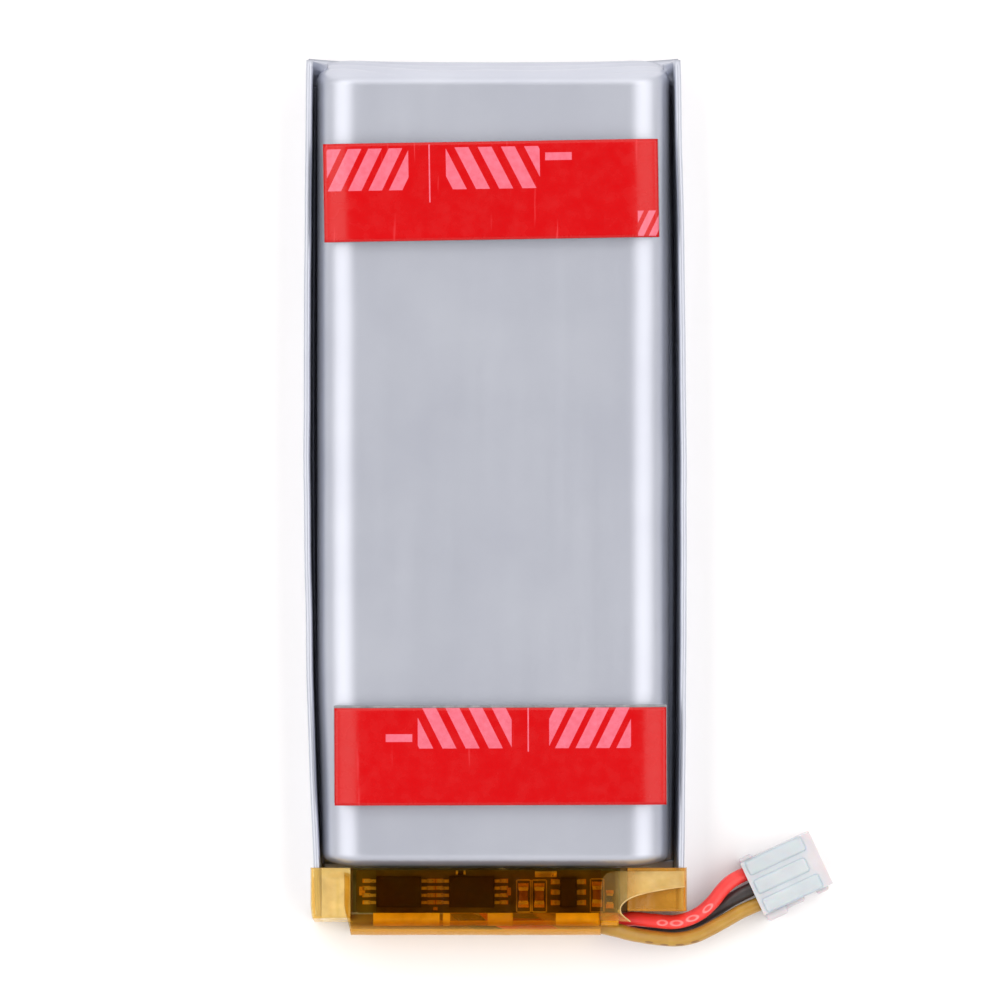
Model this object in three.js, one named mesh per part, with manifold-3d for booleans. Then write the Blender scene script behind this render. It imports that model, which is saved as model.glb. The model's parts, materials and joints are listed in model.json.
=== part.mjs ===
// Pouch battery cell: a wound cell in a laminate pouch, its protection board under amber tape,
// two foam mounting tapes and a three-lead plug.
// Millimetres, +Z up. The cell lies on its back, folded end towards +Y, terminal end towards -Y.
// The origin is under the middle of the pouch.

import * as THREE from "three";
import { mergeVertices } from "three/addons/utils/BufferGeometryUtils.js";
import Module from "manifold-3d";

const wasm = await Module();
wasm.setup();

// ---- driving dimensions ----

const HALF_WIDTH = 17.45; // widest point of the folded side seams
const HALF_LENGTH = 40;
const CELL_THICKNESS = 8;
const LAMINATE = 0.15;
const PLY_GAP = 0.02; // clearance between pieces that lie on each other

const CUP_CENTRE_X = -0.2;
const CUP_WIDTH = 32;
const CUP_END_Y = -33.8; // wall at the terminal end
const CUP_TOP_Y = 38.3; // edge of the flat top at the folded end
const CUP_FOLD_Y = 39.7; // foot of the sloping wall at the folded end
const SIDE_SHOULDER = 3.7;
const END_SHOULDER = 1.1;
const TOP_CORNER = 2.2;
const END_CORNER = 1.3;

const TERRACE_Y = -38.3; // edge of the heat seal that the tabs leave through
const TERRACE_RIGHT_Y = -37.7;
const TERRACE_LIFT = 0.12; // room for the tape that laps under the terrace
const FOLD_TOP = 6.2;
const FOLD_RETURN_FOOT = 1.2;
const FOLD_FAR_Y = 39.4;

const LEFT_SEAM = { sign: -1, bulgeY: 5, farBow: 0.25, nearBow: 1.2, nearY: TERRACE_Y };
const RIGHT_SEAM = { sign: 1, bulgeY: -5, farBow: 0.6, nearBow: 0.35, nearY: TERRACE_RIGHT_Y };
const LEFT_WALL_DRIFT = 0.5; // how far the cup narrows on its left at the terminal end
const DRIFT_START_Y = -10;

const ROLL_HALF_WIDTH = 15.1;
const ROLL_HALF_THICKNESS = 3.72;
const ROLL_CORE = 0.4;
const ROLL_MIDDLE_Z = 4.3;
const ROLL_NEAR_Y = -32.3;
const ROLL_FAR_Y = 36.9;
const LAYER = 0.285;
const LAYER_GAP = 0.04;
const TURNS = 2;

const POSITIVE_X = -8.1;
const NEGATIVE_X = 8.4;
const TAB_THICKNESS = 0.1;
const FILM_THICKNESS = 0.26;

const BOARD = { x: -0.72, y: -36.05, width: 23.85, depth: 3.9, underside: 4.2, thickness: 0.8 };
const BOARD_TOP = BOARD.underside + BOARD.thickness;

const TAPE = 0.08;
const BASE_TAPE_Z = 6.24;
const COVER_TAPE_Z = 6.36;

const LEAD_DIAMETER = 1.3;
const PLUG_PITCH = 1.5;
const PLUG_ANGLE = THREE.MathUtils.degToRad(25);
const PLUG_ENTRY = [23.4, -35.93];
const PLUG_LENGTH = 6.9;
const PLUG_HEIGHT = 3.4;
const PLUG_AXIS_Z = 1.7;

const FOAM = 1;
const LINER = 0.1;

// Centre lines from the solder joint to the crimp, laid by hand.
const BLACK_ROUTE = [
  [-4.5, -35.5, 3.4], [-4.3, -36.8, 3.2], [-3.4, -38.0, 2.6], [-1.9, -38.9, 1.8], [0.2, -39.2, 1.15],
  [3, -39.2, 0.9], [6, -39.2, 0.9], [9, -39.2, 0.9], [12, -39.3, 0.85], [14.4, -39.5, 0.8],
  [16.6, -39.5, 0.8], [18.5, -38.9, 0.85], [20.2, -37.8, 1.1], [21.8, -36.75, 1.5], [23.4, -35.93, 1.7],
  [25.39, -35, 1.7],
];
const RED_ROUTE = [
  [-1.8, -35.5, 3.4], [-1.6, -36.8, 3.3], [-0.7, -38.0, 3.1], [0.8, -38.9, 2.7], [2.8, -39.2, 2.4],
  [5, -39.2, 2.35], [7.5, -39.2, 2.35], [9.8, -39.1, 2.4], [11.2, -38.8, 2.6], [12.4, -38.62, 2.8],
  [14.2, -38.75, 2.95], [16.1, -38.9, 2.9], [17.5, -38.65, 2.75], [18.8, -38, 2.55], [19.85, -37.05, 2.35],
  [20.6, -36.1, 2.15],
  [21.5, -35.25, 1.95], [22.77, -34.57, 1.7], [24.76, -33.64, 1.7],
];
const YELLOW_ROUTE = [
  [0.6, -35.3, 3.3], [1.7, -36.1, 3.3], [3.4, -37.3, 3.35], [4.9, -38.3, 3.5], [6.2, -38.95, 3.75],
  [7.6, -39.2, 3.95], [9.3, -39.25, 3.95], [11, -39.6, 3.75], [12.3, -39.95, 3.4], [13.6, -40.2, 3.05],
  [15, -40.4, 2.75],
  [16.4, -40.5, 2.5], [17.6, -40.35, 2.35], [18.8, -39.95, 2.2], [20.9, -38.85, 1.95], [22.4, -38, 1.8],
  [24.03, -37.29, 1.7], [26.02, -36.36, 1.7],
];

// ---- solids ----

function toSolid(geometry) {
  const bare = new THREE.BufferGeometry();
  bare.setAttribute("position", geometry.getAttribute("position"));
  bare.setIndex(geometry.getIndex());
  const merged = mergeVertices(bare, 1e-4);
  const vertProperties = new Float32Array(merged.getAttribute("position").array);
  const triVerts = new Uint32Array(merged.getIndex().array);
  return new wasm.Manifold(new wasm.Mesh({ numProp: 3, vertProperties, triVerts }));
}

function toGeometry(solid) {
  const mesh = solid.getMesh();
  const geometry = new THREE.BufferGeometry();
  geometry.setAttribute("position", new THREE.BufferAttribute(mesh.vertProperties, 3));
  geometry.setIndex(new THREE.BufferAttribute(mesh.triVerts, 1));
  return geometry;
}

function joined(geometries) {
  const solids = geometries.map(toSolid);
  return solids.reduce((all, next) => all.add(next));
}

function block(x0, x1, y0, y1, z0, z1) {
  const box = new THREE.BoxGeometry(x1 - x0, y1 - y0, z1 - z0);
  return box.translate((x0 + x1) / 2, (y0 + y1) / 2, (z0 + z1) / 2);
}

function extruded(shape, depth) {
  return new THREE.ExtrudeGeometry(shape, { depth, bevelEnabled: false, curveSegments: 8 });
}

// A plan outline (x, y) raised from z0 to z1.
function prismUp(shape, z0, z1) {
  return extruded(shape, z1 - z0).translate(0, 0, z0);
}

// A side profile (y, z) drawn across from x0 to x1.
function prismAcross(shape, x0, x1) {
  const turn = new THREE.Matrix4().makeBasis(
    new THREE.Vector3(0, 1, 0), new THREE.Vector3(0, 0, 1), new THREE.Vector3(1, 0, 0));
  return extruded(shape, x1 - x0).applyMatrix4(turn).translate(x0, 0, 0);
}

// A cross-section (x, z) drawn along from y0 to y1.
function prismAlong(shape, y0, y1) {
  return extruded(shape, y1 - y0).rotateX(Math.PI / 2).translate(0, y1, 0);
}

function polygon(points) {
  return new THREE.Shape(points.map(([u, v]) => new THREE.Vector2(u, v)));
}

// Corners of an open line replaced by short curves.
function softened(points, radius) {
  const path = new THREE.Path();
  path.moveTo(...points[0]);
  for (let i = 1; i < points.length - 1; i += 1) {
    const corner = new THREE.Vector2(...points[i]);
    const before = new THREE.Vector2(...points[i - 1]).sub(corner).setLength(radius).add(corner);
    const after = new THREE.Vector2(...points[i + 1]).sub(corner).setLength(radius).add(corner);
    path.lineTo(before.x, before.y);
    path.quadraticCurveTo(corner.x, corner.y, after.x, after.y);
  }
  path.lineTo(...points[points.length - 1]);
  return path.getPoints(4);
}

// The outline of a strip of even thickness that follows a line.
function stripShape(line, thickness) {
  const sides = [[], []];
  line.forEach((point, i) => {
    const before = line[Math.max(i - 1, 0)];
    const after = line[Math.min(i + 1, line.length - 1)];
    const into = i > 0 ? point.clone().sub(before).normalize() : after.clone().sub(point).normalize();
    const outOf = i < line.length - 1 ? after.clone().sub(point).normalize() : into;
    const across = into.clone().add(outOf).normalize().rotateAround(new THREE.Vector2(), Math.PI / 2);
    const reach = thickness / 2 / Math.sqrt((1 + into.dot(outOf)) / 2);
    sides[0].push(point.clone().addScaledVector(across, reach));
    sides[1].unshift(point.clone().addScaledVector(across, -reach));
  });
  return new THREE.Shape([...sides[0], ...sides[1]]);
}

// ---- the pouch ----

function seamX(seam, y, inset) {
  const farY = HALF_LENGTH;
  const above = y > seam.bulgeY;
  const bow = above ? seam.farBow : seam.nearBow;
  const run = (y - seam.bulgeY) / ((above ? farY : -HALF_LENGTH) - seam.bulgeY);
  return seam.sign * (HALF_WIDTH - inset - bow * run * run);
}

// Points of a seam from near to far, with one on its widest place.
function seamPoints(seam, inset, nearY, farY) {
  const steps = 6;
  const points = [];
  for (let i = 0; i < steps; i += 1) {
    points.push(THREE.MathUtils.lerp(nearY, seam.bulgeY, i / steps));
  }
  for (let i = 0; i <= steps; i += 1) {
    points.push(THREE.MathUtils.lerp(seam.bulgeY, farY, i / steps));
  }
  return points.map((y) => [seamX(seam, y, inset), y]);
}

function pouchOutline(inset, farY) {
  const left = seamPoints(LEFT_SEAM, inset, LEFT_SEAM.nearY, farY);
  const right = seamPoints(RIGHT_SEAM, inset, RIGHT_SEAM.nearY, farY).reverse();
  const cornerCut = [[13, TERRACE_RIGHT_Y], [12, TERRACE_Y]];
  return polygon([...left, ...right, ...cornerCut]);
}

function seamPly(seam, inset, z0, z1, thickness = LAMINATE) {
  const outer = seamPoints(seam, inset, seam.nearY, FOLD_FAR_Y);
  const inner = seamPoints(seam, inset + thickness, seam.nearY, FOLD_FAR_Y).reverse();
  return prismUp(polygon([...outer, ...inner]), z0, z1);
}

// The double-folded seam, one sheet's share of it: a wall, a cap and a returning ply.
function seamFold(seam, outerInset, plies, foot) {
  const top = FOLD_TOP - outerInset;
  const span = plies * LAMINATE + (plies - 1) * PLY_GAP - 2 * outerInset;
  return [
    seamPly(seam, outerInset, foot, top),
    seamPly(seam, outerInset, top - LAMINATE, top, span),
    seamPly(seam, outerInset + span - LAMINATE, FOLD_RETURN_FOOT, top),
  ];
}

const SEAM_PLIES = 4;
const CUP_PLY_INSET = LAMINATE + PLY_GAP;
const FLANGE_Z = LAMINATE + PLY_GAP;

function backSheet() {
  const floorLine = [[HALF_LENGTH, LAMINATE / 2], [-34.2, LAMINATE / 2],
    [-34.8, TERRACE_LIFT + LAMINATE / 2], [-HALF_LENGTH, TERRACE_LIFT + LAMINATE / 2]]
    .map(([y, z]) => new THREE.Vector2(y, z));
  const floor = toSolid(prismAcross(stripShape(floorLine, LAMINATE), -20, 20));
  const outline = toSolid(prismUp(pouchOutline(0, HALF_LENGTH), -1, 1));
  const folds = [LEFT_SEAM, RIGHT_SEAM].flatMap((seam) => seamFold(seam, 0, SEAM_PLIES, TERRACE_LIFT));
  return floor.intersect(outline).add(joined(folds));
}

function cupSection(inset, foot) {
  const half = CUP_WIDTH / 2 - inset;
  const radius = SIDE_SHOULDER - inset;
  const top = CELL_THICKNESS - inset;
  const shape = new THREE.Shape();
  shape.moveTo(CUP_CENTRE_X - half, foot);
  shape.lineTo(CUP_CENTRE_X - half, top - radius);
  shape.absarc(CUP_CENTRE_X - half + radius, top - radius, radius, Math.PI, Math.PI / 2, true);
  shape.absarc(CUP_CENTRE_X + half - radius, top - radius, radius, Math.PI / 2, 0, true);
  shape.lineTo(CUP_CENTRE_X + half, foot);
  return shape;
}

// Side view of the drawn cup: upright at the terminal end, sloping down to the fold at the far end.
function cupProfile(inset, foot) {
  const top = CELL_THICKNESS - inset;
  const radius = END_SHOULDER - inset;
  const near = CUP_END_Y + inset;
  const shape = new THREE.Shape();
  shape.moveTo(near, foot);
  shape.lineTo(near, top - radius);
  shape.absarc(near + radius, top - radius, radius, Math.PI, Math.PI / 2, true);
  shape.lineTo(CUP_TOP_Y - END_SHOULDER, top);
  shape.quadraticCurveTo(CUP_TOP_Y - inset, top, CUP_TOP_Y + 0.3 - inset, top - END_SHOULDER);
  shape.lineTo(CUP_FOLD_Y - inset, foot);
  return shape;
}

function cupPlan(inset) {
  const left = CUP_CENTRE_X - CUP_WIDTH / 2 + inset;
  const right = CUP_CENTRE_X + CUP_WIDTH / 2 - inset;
  const near = CUP_END_Y + inset;
  const far = CUP_FOLD_Y - inset;
  const drift = LEFT_WALL_DRIFT;
  const shape = new THREE.Shape();
  shape.moveTo(left + drift, near + END_CORNER);
  shape.quadraticCurveTo(left + drift * 0.1, (near + DRIFT_START_Y) / 2, left, DRIFT_START_Y);
  shape.lineTo(left, far - TOP_CORNER);
  shape.absarc(left + TOP_CORNER, far - TOP_CORNER, TOP_CORNER, Math.PI, Math.PI / 2, true);
  shape.absarc(right - TOP_CORNER, far - TOP_CORNER, TOP_CORNER, Math.PI / 2, 0, true);
  shape.lineTo(right, near + END_CORNER);
  shape.absarc(right - END_CORNER, near + END_CORNER, END_CORNER, 0, -Math.PI / 2, true);
  shape.absarc(left + drift + END_CORNER, near + END_CORNER, END_CORNER, -Math.PI / 2, -Math.PI, true);
  return shape;
}

function cupBlank(inset, foot) {
  const across = toSolid(prismAlong(cupSection(inset, foot), -50, 50));
  const along = toSolid(prismAcross(cupProfile(inset, foot), -30, 30));
  const plan = toSolid(prismUp(cupPlan(inset), foot - 1, CELL_THICKNESS + 1));
  return across.intersect(along).intersect(plan);
}

const TABS = [
  { x: POSITIVE_X, width: 5, filmWidth: 7 },
  { x: NEGATIVE_X, width: 2.8, filmWidth: 5 },
];

const FILM_FOOT = TERRACE_LIFT + FLANGE_Z;
const FILM_HEAD = FILM_FOOT + FILM_THICKNESS;

// The upper ply of the terrace rises over each tab film.
function terracePly() {
  const flat = FILM_FOOT + LAMINATE / 2;
  const raised = FILM_HEAD + PLY_GAP + LAMINATE / 2;
  const line = [[-20, flat]];
  for (const tab of TABS) {
    const reach = tab.filmWidth / 2;
    line.push([tab.x - reach - 0.6, flat], [tab.x - reach - 0.25, raised]);
    line.push([tab.x + reach + 0.25, raised], [tab.x + reach + 0.6, flat]);
  }
  line.push([20, flat]);
  const strip = stripShape(line.map(([x, z]) => new THREE.Vector2(x, z)), LAMINATE);
  const outline = toSolid(prismUp(pouchOutline(CUP_PLY_INSET, HALF_LENGTH), -1, 2));
  return toSolid(prismAlong(strip, TERRACE_Y, CUP_END_Y + LAMINATE)).intersect(outline);
}

function filmChannel(tab) {
  const reach = tab.filmWidth / 2 + 0.05;
  return toSolid(block(tab.x - reach, tab.x + reach, CUP_END_Y - 0.5, CUP_END_Y + 0.5, -1, FILM_HEAD + PLY_GAP));
}

function pouchCup() {
  const shell = cupBlank(0, FLANGE_Z);
  const flange = toSolid(prismUp(pouchOutline(CUP_PLY_INSET, CUP_FOLD_Y - 0.3), FLANGE_Z, FLANGE_Z + LAMINATE));
  const beforeTerrace = toSolid(block(-20, 20, CUP_END_Y + 0.02, HALF_LENGTH, -1, 2));
  const folds = [LEFT_SEAM, RIGHT_SEAM].flatMap(
    (seam) => seamFold(seam, CUP_PLY_INSET, SEAM_PLIES, FILM_FOOT));
  const hollow = cupBlank(LAMINATE, -2);
  let cup = shell.add(flange.intersect(beforeTerrace)).subtract(hollow);
  cup = cup.add(terracePly()).add(joined(folds));
  for (const tab of TABS) {
    cup = cup.subtract(filmChannel(tab));
  }
  return cup;
}

// ---- the roll inside ----

// A point of the flat spiral after some turns, on a line that starts at a given half-height.
function rollPoint(turns, start, pitch) {
  const half = start + pitch * turns;
  const centre = ROLL_HALF_WIDTH - ROLL_HALF_THICKNESS;
  const part = (turns % 1) * 4;
  if (part < 2) {
    const angle = (part / 2) * Math.PI - Math.PI / 2;
    return new THREE.Vector2(centre + half * Math.cos(angle), half * Math.sin(angle));
  }
  const angle = ((part - 2) / 2) * Math.PI + Math.PI / 2;
  return new THREE.Vector2(-centre + half * Math.cos(angle), half * Math.sin(angle));
}

// Every layer is wound on the one before it, so each starts one layer further out.
function rollLayer(order) {
  const pitch = 4 * (LAYER + LAYER_GAP);
  const arcSteps = 8;
  const start = ROLL_CORE + (LAYER + LAYER_GAP) * order;
  const line = [];
  for (let half = 0; half < TURNS * 2; half += 1) {
    for (let i = 0; i < arcSteps; i += 1) {
      line.push(rollPoint((half + (i + 0.5) / arcSteps) / 2, start, pitch));
    }
  }
  const placed = line.map((p) => new THREE.Vector2(p.x + CUP_CENTRE_X, p.y + ROLL_MIDDLE_Z));
  const shape = stripShape(placed, LAYER);
  return prismAlong(shape, ROLL_NEAR_Y, ROLL_FAR_Y);
}

function rollEndTape() {
  const top = CELL_THICKNESS - LAMINATE - PLY_GAP;
  return block(-12, 8, -28, 32, top - 0.05, top);
}

// ---- tabs ----

function tabStrip(tab) {
  const foot = FILM_FOOT + FILM_THICKNESS / 2;
  const under = BOARD.underside - 0.17;
  const line = softened([[-32.6, 3.9], [-33.15, 3.9], [-33.15, foot], [-38.43, foot],
    [-38.43, under], [-36, under]], 0.2);
  return prismAcross(stripShape(line, TAB_THICKNESS), tab.x - tab.width / 2, tab.x + tab.width / 2);
}

function tabFilm(tab) {
  const reach = tab.filmWidth / 2;
  const shape = polygon([[-reach, 0], [reach, 0], [reach, FILM_THICKNESS], [-reach, FILM_THICKNESS]]);
  const slot = { x: tab.width / 2 + PLY_GAP, z: TAB_THICKNESS / 2 + PLY_GAP };
  const middle = FILM_THICKNESS / 2;
  shape.holes.push(polygon([[-slot.x, middle - slot.z], [slot.x, middle - slot.z],
    [slot.x, middle + slot.z], [-slot.x, middle + slot.z]]));
  return prismAlong(shape, TERRACE_Y + 0.1, CUP_END_Y + 0.45).translate(tab.x, 0, FILM_FOOT);
}

function weldPlate(tab) {
  const reach = tab.width / 2 - 0.2;
  return block(tab.x - reach, tab.x + reach, -37.4, -35.4, BOARD.underside - 0.11, BOARD.underside - 0.01);
}

// ---- protection board ----

function circuitBoard() {
  const { x, y, width, depth, underside } = BOARD;
  const corner = 0.3;
  const shape = new THREE.Shape();
  shape.moveTo(x - width / 2, y - depth / 2 + corner);
  shape.lineTo(x - width / 2, y + depth / 2 - corner);
  shape.absarc(x - width / 2 + corner, y + depth / 2 - corner, corner, Math.PI, Math.PI / 2, true);
  shape.absarc(x + width / 2 - corner, y + depth / 2 - corner, corner, Math.PI / 2, 0, true);
  shape.absarc(x + width / 2 - corner, y - depth / 2 + corner, corner, 0, -Math.PI / 2, true);
  shape.absarc(x - width / 2 + corner, y - depth / 2 + corner, corner, -Math.PI / 2, -Math.PI, true);
  return prismUp(shape, underside, BOARD_TOP);
}

// A moulded chip whose gull-wing leads stand on the board on its left and right.
function leadedChip({ x, y, bodyWidth, bodyDepth, bodyHeight, span, pitch, leadsPerSide, leadWidth }) {
  const foot = BOARD_TOP + PLY_GAP;
  const stand = foot + 0.08;
  const parts = [block(x - bodyWidth / 2, x + bodyWidth / 2, y - bodyDepth / 2, y + bodyDepth / 2,
    stand, foot + bodyHeight)];
  const plate = 0.14;
  const knee = bodyWidth / 2 + (span - bodyWidth) * 0.2;
  const middle = foot + bodyHeight * 0.5;
  for (const side of [-1, 1]) {
    for (let i = 0; i < leadsPerSide; i += 1) {
      const at = y + (i - (leadsPerSide - 1) / 2) * pitch;
      const line = [[bodyWidth / 2 - 0.1, middle], [knee, middle], [knee + 0.1, foot + plate / 2],
        [span / 2, foot + plate / 2]].map(([u, z]) => new THREE.Vector2(x + side * u, z));
      parts.push(prismAlong(stripShape(line, plate), at - leadWidth / 2, at + leadWidth / 2));
    }
  }
  return toGeometry(joined(parts));
}

// A two-ended chip part with raised metal ends.
function endedChip(x, y, length, width, height, alongX) {
  const foot = BOARD_TOP + PLY_GAP;
  const cap = length * 0.22;
  const lift = 0.03;
  const parts = [
    block(-length / 2 + 0.02, length / 2 - 0.02, -width / 2, width / 2, lift, height),
    block(-length / 2, -length / 2 + cap, -width / 2 - lift, width / 2 + lift, 0, height + lift),
    block(length / 2 - cap, length / 2, -width / 2 - lift, width / 2 + lift, 0, height + lift),
  ];
  const geometry = toGeometry(joined(parts));
  if (!alongX) {
    geometry.rotateZ(Math.PI / 2);
  }
  return geometry.translate(x, y, foot);
}

function solderJoint([x, y]) {
  const head = BOARD.underside - 0.02;
  const profile = [[0, -1.1], [0.3, -1], [0.42, -0.5], [0.56, 0], [0, 0]];
  const joint = new THREE.LatheGeometry(profile.map(([r, z]) => new THREE.Vector2(r, z)), 12);
  return joint.rotateX(Math.PI / 2).translate(x, y + 0.85, head);
}

// ---- amber tape ----

// Tape that laps over the board, down its outer edge and back under the terrace.
function lappedTape(x0, x1, outerY, topZ, startY) {
  const line = softened([[startY, topZ], [outerY, topZ], [outerY, TAPE / 2], [-34.9, TAPE / 2]], 0.15);
  return prismAcross(stripShape(line, TAPE), x0, x1);
}

function baseTape() {
  const top = block(-16.5, 17.3, -37.85, -33.95, BASE_TAPE_Z - TAPE / 2, BASE_TAPE_Z + TAPE / 2);
  const left = lappedTape(-16.5, -13.6, -38.95, BASE_TAPE_Z, -33.95);
  const right = lappedTape(12.8, 17.3, -37.85, BASE_TAPE_Z, -33.95);
  return joined([top, left, right]);
}

// The outer layer bulges over the leads and ends in the mouth that they leave by.
function coverTape() {
  const lapped = toSolid(lappedTape(-13.2, 12.4, -HALF_LENGTH + TAPE / 2, COVER_TAPE_Z, -34.1));
  const mouth = polygon([[9.2, -42], [9.2, -39.3], [10.8, -38.2], [12.5, -37.6], [13, -42]]);
  return lapped.subtract(toSolid(prismUp(mouth, -1, 8)));
}

// ---- leads and plug ----

function lead(route) {
  const curve = new THREE.CatmullRomCurve3(route.map((point) => new THREE.Vector3(...point)));
  const section = new THREE.Shape();
  const sides = 8;
  for (let i = 0; i < sides; i += 1) {
    const angle = ((i + 0.5) / sides) * 2 * Math.PI;
    const point = [Math.cos(angle) * LEAD_DIAMETER / 2, Math.sin(angle) * LEAD_DIAMETER / 2];
    if (i === 0) {
      section.moveTo(...point);
    } else {
      section.lineTo(...point);
    }
  }
  const steps = Math.round(curve.getLength() / (2 * LEAD_DIAMETER)) + 4;
  return new THREE.ExtrudeGeometry(section, { steps, extrudePath: curve, bevelEnabled: false });
}

const CAVITY = { width: 1.16, height: 1.5, entryWidth: 1.4, entryLength: 2.6 };
const PLUG_OFFSETS = [1, 0, -1].map((place) => place * PLUG_PITCH);

// The housing in its own axes: x from the lead entry to the mating face, y across, z up.
function plugHousing() {
  const bodyHalf = 2.6;
  const top = PLUG_HEIGHT;
  let housing = joined([
    block(0, PLUG_LENGTH, -bodyHalf, bodyHalf, 0, top - 0.35),
    block(0, 1.7, -3.1, 3.1, 0, top - 0.7),
    block(0.6, PLUG_LENGTH - 0.9, -bodyHalf, -bodyHalf + 0.55, 0.5, top),
    block(0.6, PLUG_LENGTH - 0.9, bodyHalf - 0.55, bodyHalf, 0.5, top),
    block(0.6, PLUG_LENGTH - 1.9, -0.8, 0.8, 0.5, top),
    block(PLUG_LENGTH - 2.6, PLUG_LENGTH - 1.4, -3, -bodyHalf + 0.1, 0.4, 2.4),
  ]);
  for (const y of PLUG_OFFSETS) {
    const z0 = PLUG_AXIS_Z - CAVITY.height / 2;
    const z1 = PLUG_AXIS_Z + CAVITY.height / 2 - 0.1;
    housing = housing.subtract(toSolid(block(-1, CAVITY.entryLength, y - CAVITY.entryWidth / 2,
      y + CAVITY.entryWidth / 2, z0 + 0.02, PLUG_AXIS_Z + CAVITY.entryWidth / 2)));
    housing = housing.subtract(toSolid(block(0, PLUG_LENGTH + 1, y - CAVITY.width / 2,
      y + CAVITY.width / 2, z0 + 0.1, z1 - 0.2)));
    housing = housing.subtract(toSolid(block(3.4, 4.5, y - 0.35, y + 0.35, -1, PLUG_AXIS_Z)));
  }
  return toGeometry(housing);
}

// A crimp contact: an open box that takes the pin, a neck, and a barrel round the wire.
function crimpContact(y) {
  const z = PLUG_AXIS_Z - 0.02;
  const box = toSolid(block(3.7, 6.5, y - 0.48, y + 0.48, z - 0.46, z + 0.42));
  const bore = toSolid(block(4.2, 7, y - 0.3, y + 0.3, z - 0.26, z + 0.24));
  const neck = toSolid(block(3.1, 3.8, y - 0.3, y + 0.3, z - 0.46, z - 0.26));
  const barrel = toSolid(block(2.55, 3.3, y - 0.42, y + 0.42, z - 0.46, z + 0.4));
  return toGeometry(box.subtract(bore).add(neck).add(barrel));
}

// ---- mounting tapes ----

const TAPES = [
  { name: "upper", x: -0.38, y: 27.56, width: 30.3, depth: 8.9, turn: 0.93, foamShift: 0 },
  { name: "lower", x: 0.47, y: -23.68, width: 30.05, depth: 8.83, turn: 0.17, foamShift: 0.22 },
];

// ---- the object ----

const SILVER = { color: 0xb8becb, roughness: 0.38, metalness: 0.85 };
const NICKEL = { color: 0xc9c3b6, roughness: 0.35, metalness: 0.9 };
const TINNED = { color: 0xcfcfcf, roughness: 0.3, metalness: 0.9 };
const AMBER = { color: 0xe08a10, roughness: 0.25, metalness: 0 };
const CHIP_BLACK = { color: 0x1d1a18, roughness: 0.55, metalness: 0 };
const FOAM_GREY = { color: 0x8d9198, roughness: 0.85, metalness: 0 };
const LINER_RED = { color: 0xda0c10, roughness: 0.35, metalness: 0 };

const cell = new THREE.Group();

function place(group, name, geometry, finish) {
  const mesh = new THREE.Mesh(geometry, new THREE.MeshStandardMaterial(finish));
  mesh.name = name;
  group.add(mesh);
}

place(cell, "pouch_back_sheet", toGeometry(backSheet()), SILVER);
place(cell, "pouch_cup", toGeometry(pouchCup()), SILVER);

const ROLL = [
  ["inner_separator", { color: 0xf2f2ee, roughness: 0.7, metalness: 0 }],
  ["anode_winding", { color: 0x8a4f2c, roughness: 0.5, metalness: 0.6 }],
  ["outer_separator", { color: 0xf2f2ee, roughness: 0.7, metalness: 0 }],
  ["cathode_winding", { color: 0x4a4c50, roughness: 0.5, metalness: 0.5 }],
];
ROLL.forEach(([name, finish], order) => place(cell, name, rollLayer(order), finish));
place(cell, "roll_end_tape", rollEndTape(), { color: 0x3a7f5a, roughness: 0.4, metalness: 0 });

const TAB_FINISHES = [["positive", { color: 0xd0d3d8, roughness: 0.35, metalness: 0.9 }], ["negative", NICKEL]];
TAB_FINISHES.forEach(([name, finish], i) => {
  place(cell, `${name}_tab`, tabStrip(TABS[i]), finish);
  place(cell, `${name}_tab_film`, tabFilm(TABS[i]), { color: 0xe8e2c8, roughness: 0.5, metalness: 0 });
  place(cell, `${name}_weld_plate`, weldPlate(TABS[i]), NICKEL);
});

place(cell, "circuit_board", circuitBoard(), { color: 0x4d5c22, roughness: 0.45, metalness: 0 });

const SWITCH = { y: -36.05, bodyWidth: 4.2, bodyDepth: 2.9, bodyHeight: 1.05, span: 6.3, pitch: 0.65,
  leadsPerSide: 4, leadWidth: 0.26 };
place(cell, "left_switch_chip", leadedChip({ ...SWITCH, x: -8.77 }), CHIP_BLACK);
place(cell, "right_switch_chip", leadedChip({ ...SWITCH, x: -2.13 }), CHIP_BLACK);
place(cell, "protection_chip", leadedChip({ x: 6.65, y: -36.1, bodyWidth: 1.6, bodyDepth: 2.8,
  bodyHeight: 1.05, span: 2.9, pitch: 0.95, leadsPerSide: 3, leadWidth: 0.4 }), CHIP_BLACK);

const CERAMIC = { color: 0x9a6a3a, roughness: 0.5, metalness: 0 };
const RESISTIVE = { color: 0x26231f, roughness: 0.5, metalness: 0 };
place(cell, "supply_capacitor", endedChip(2.55, -36.4, 1.6, 0.8, 0.8, false), CERAMIC);
place(cell, "sense_capacitor", endedChip(4, -36.4, 1.6, 0.8, 0.8, false), CERAMIC);
place(cell, "thermistor", endedChip(9.26, -36.3, 1.6, 0.8, 0.7, false), CERAMIC);
place(cell, "supply_resistor", endedChip(10.4, -36.7, 1, 0.5, 0.35, false), RESISTIVE);
place(cell, "gate_resistor", endedChip(-3.14, -34.32, 0.9, 0.3, 0.3, true), RESISTIVE);

place(cell, "black_solder_joint", solderJoint(BLACK_ROUTE[0]), TINNED);
place(cell, "red_solder_joint", solderJoint(RED_ROUTE[0]), TINNED);
place(cell, "yellow_solder_joint", solderJoint(YELLOW_ROUTE[0]), TINNED);
place(cell, "terrace_insulator", block(-13, 11.4, -38.1, -34.1, 0.75, 0.9),
  { color: 0x9fb7a4, roughness: 0.8, metalness: 0 });

place(cell, "base_tape", toGeometry(baseTape()), AMBER);
place(cell, "cover_tape", toGeometry(coverTape()), AMBER);

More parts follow.
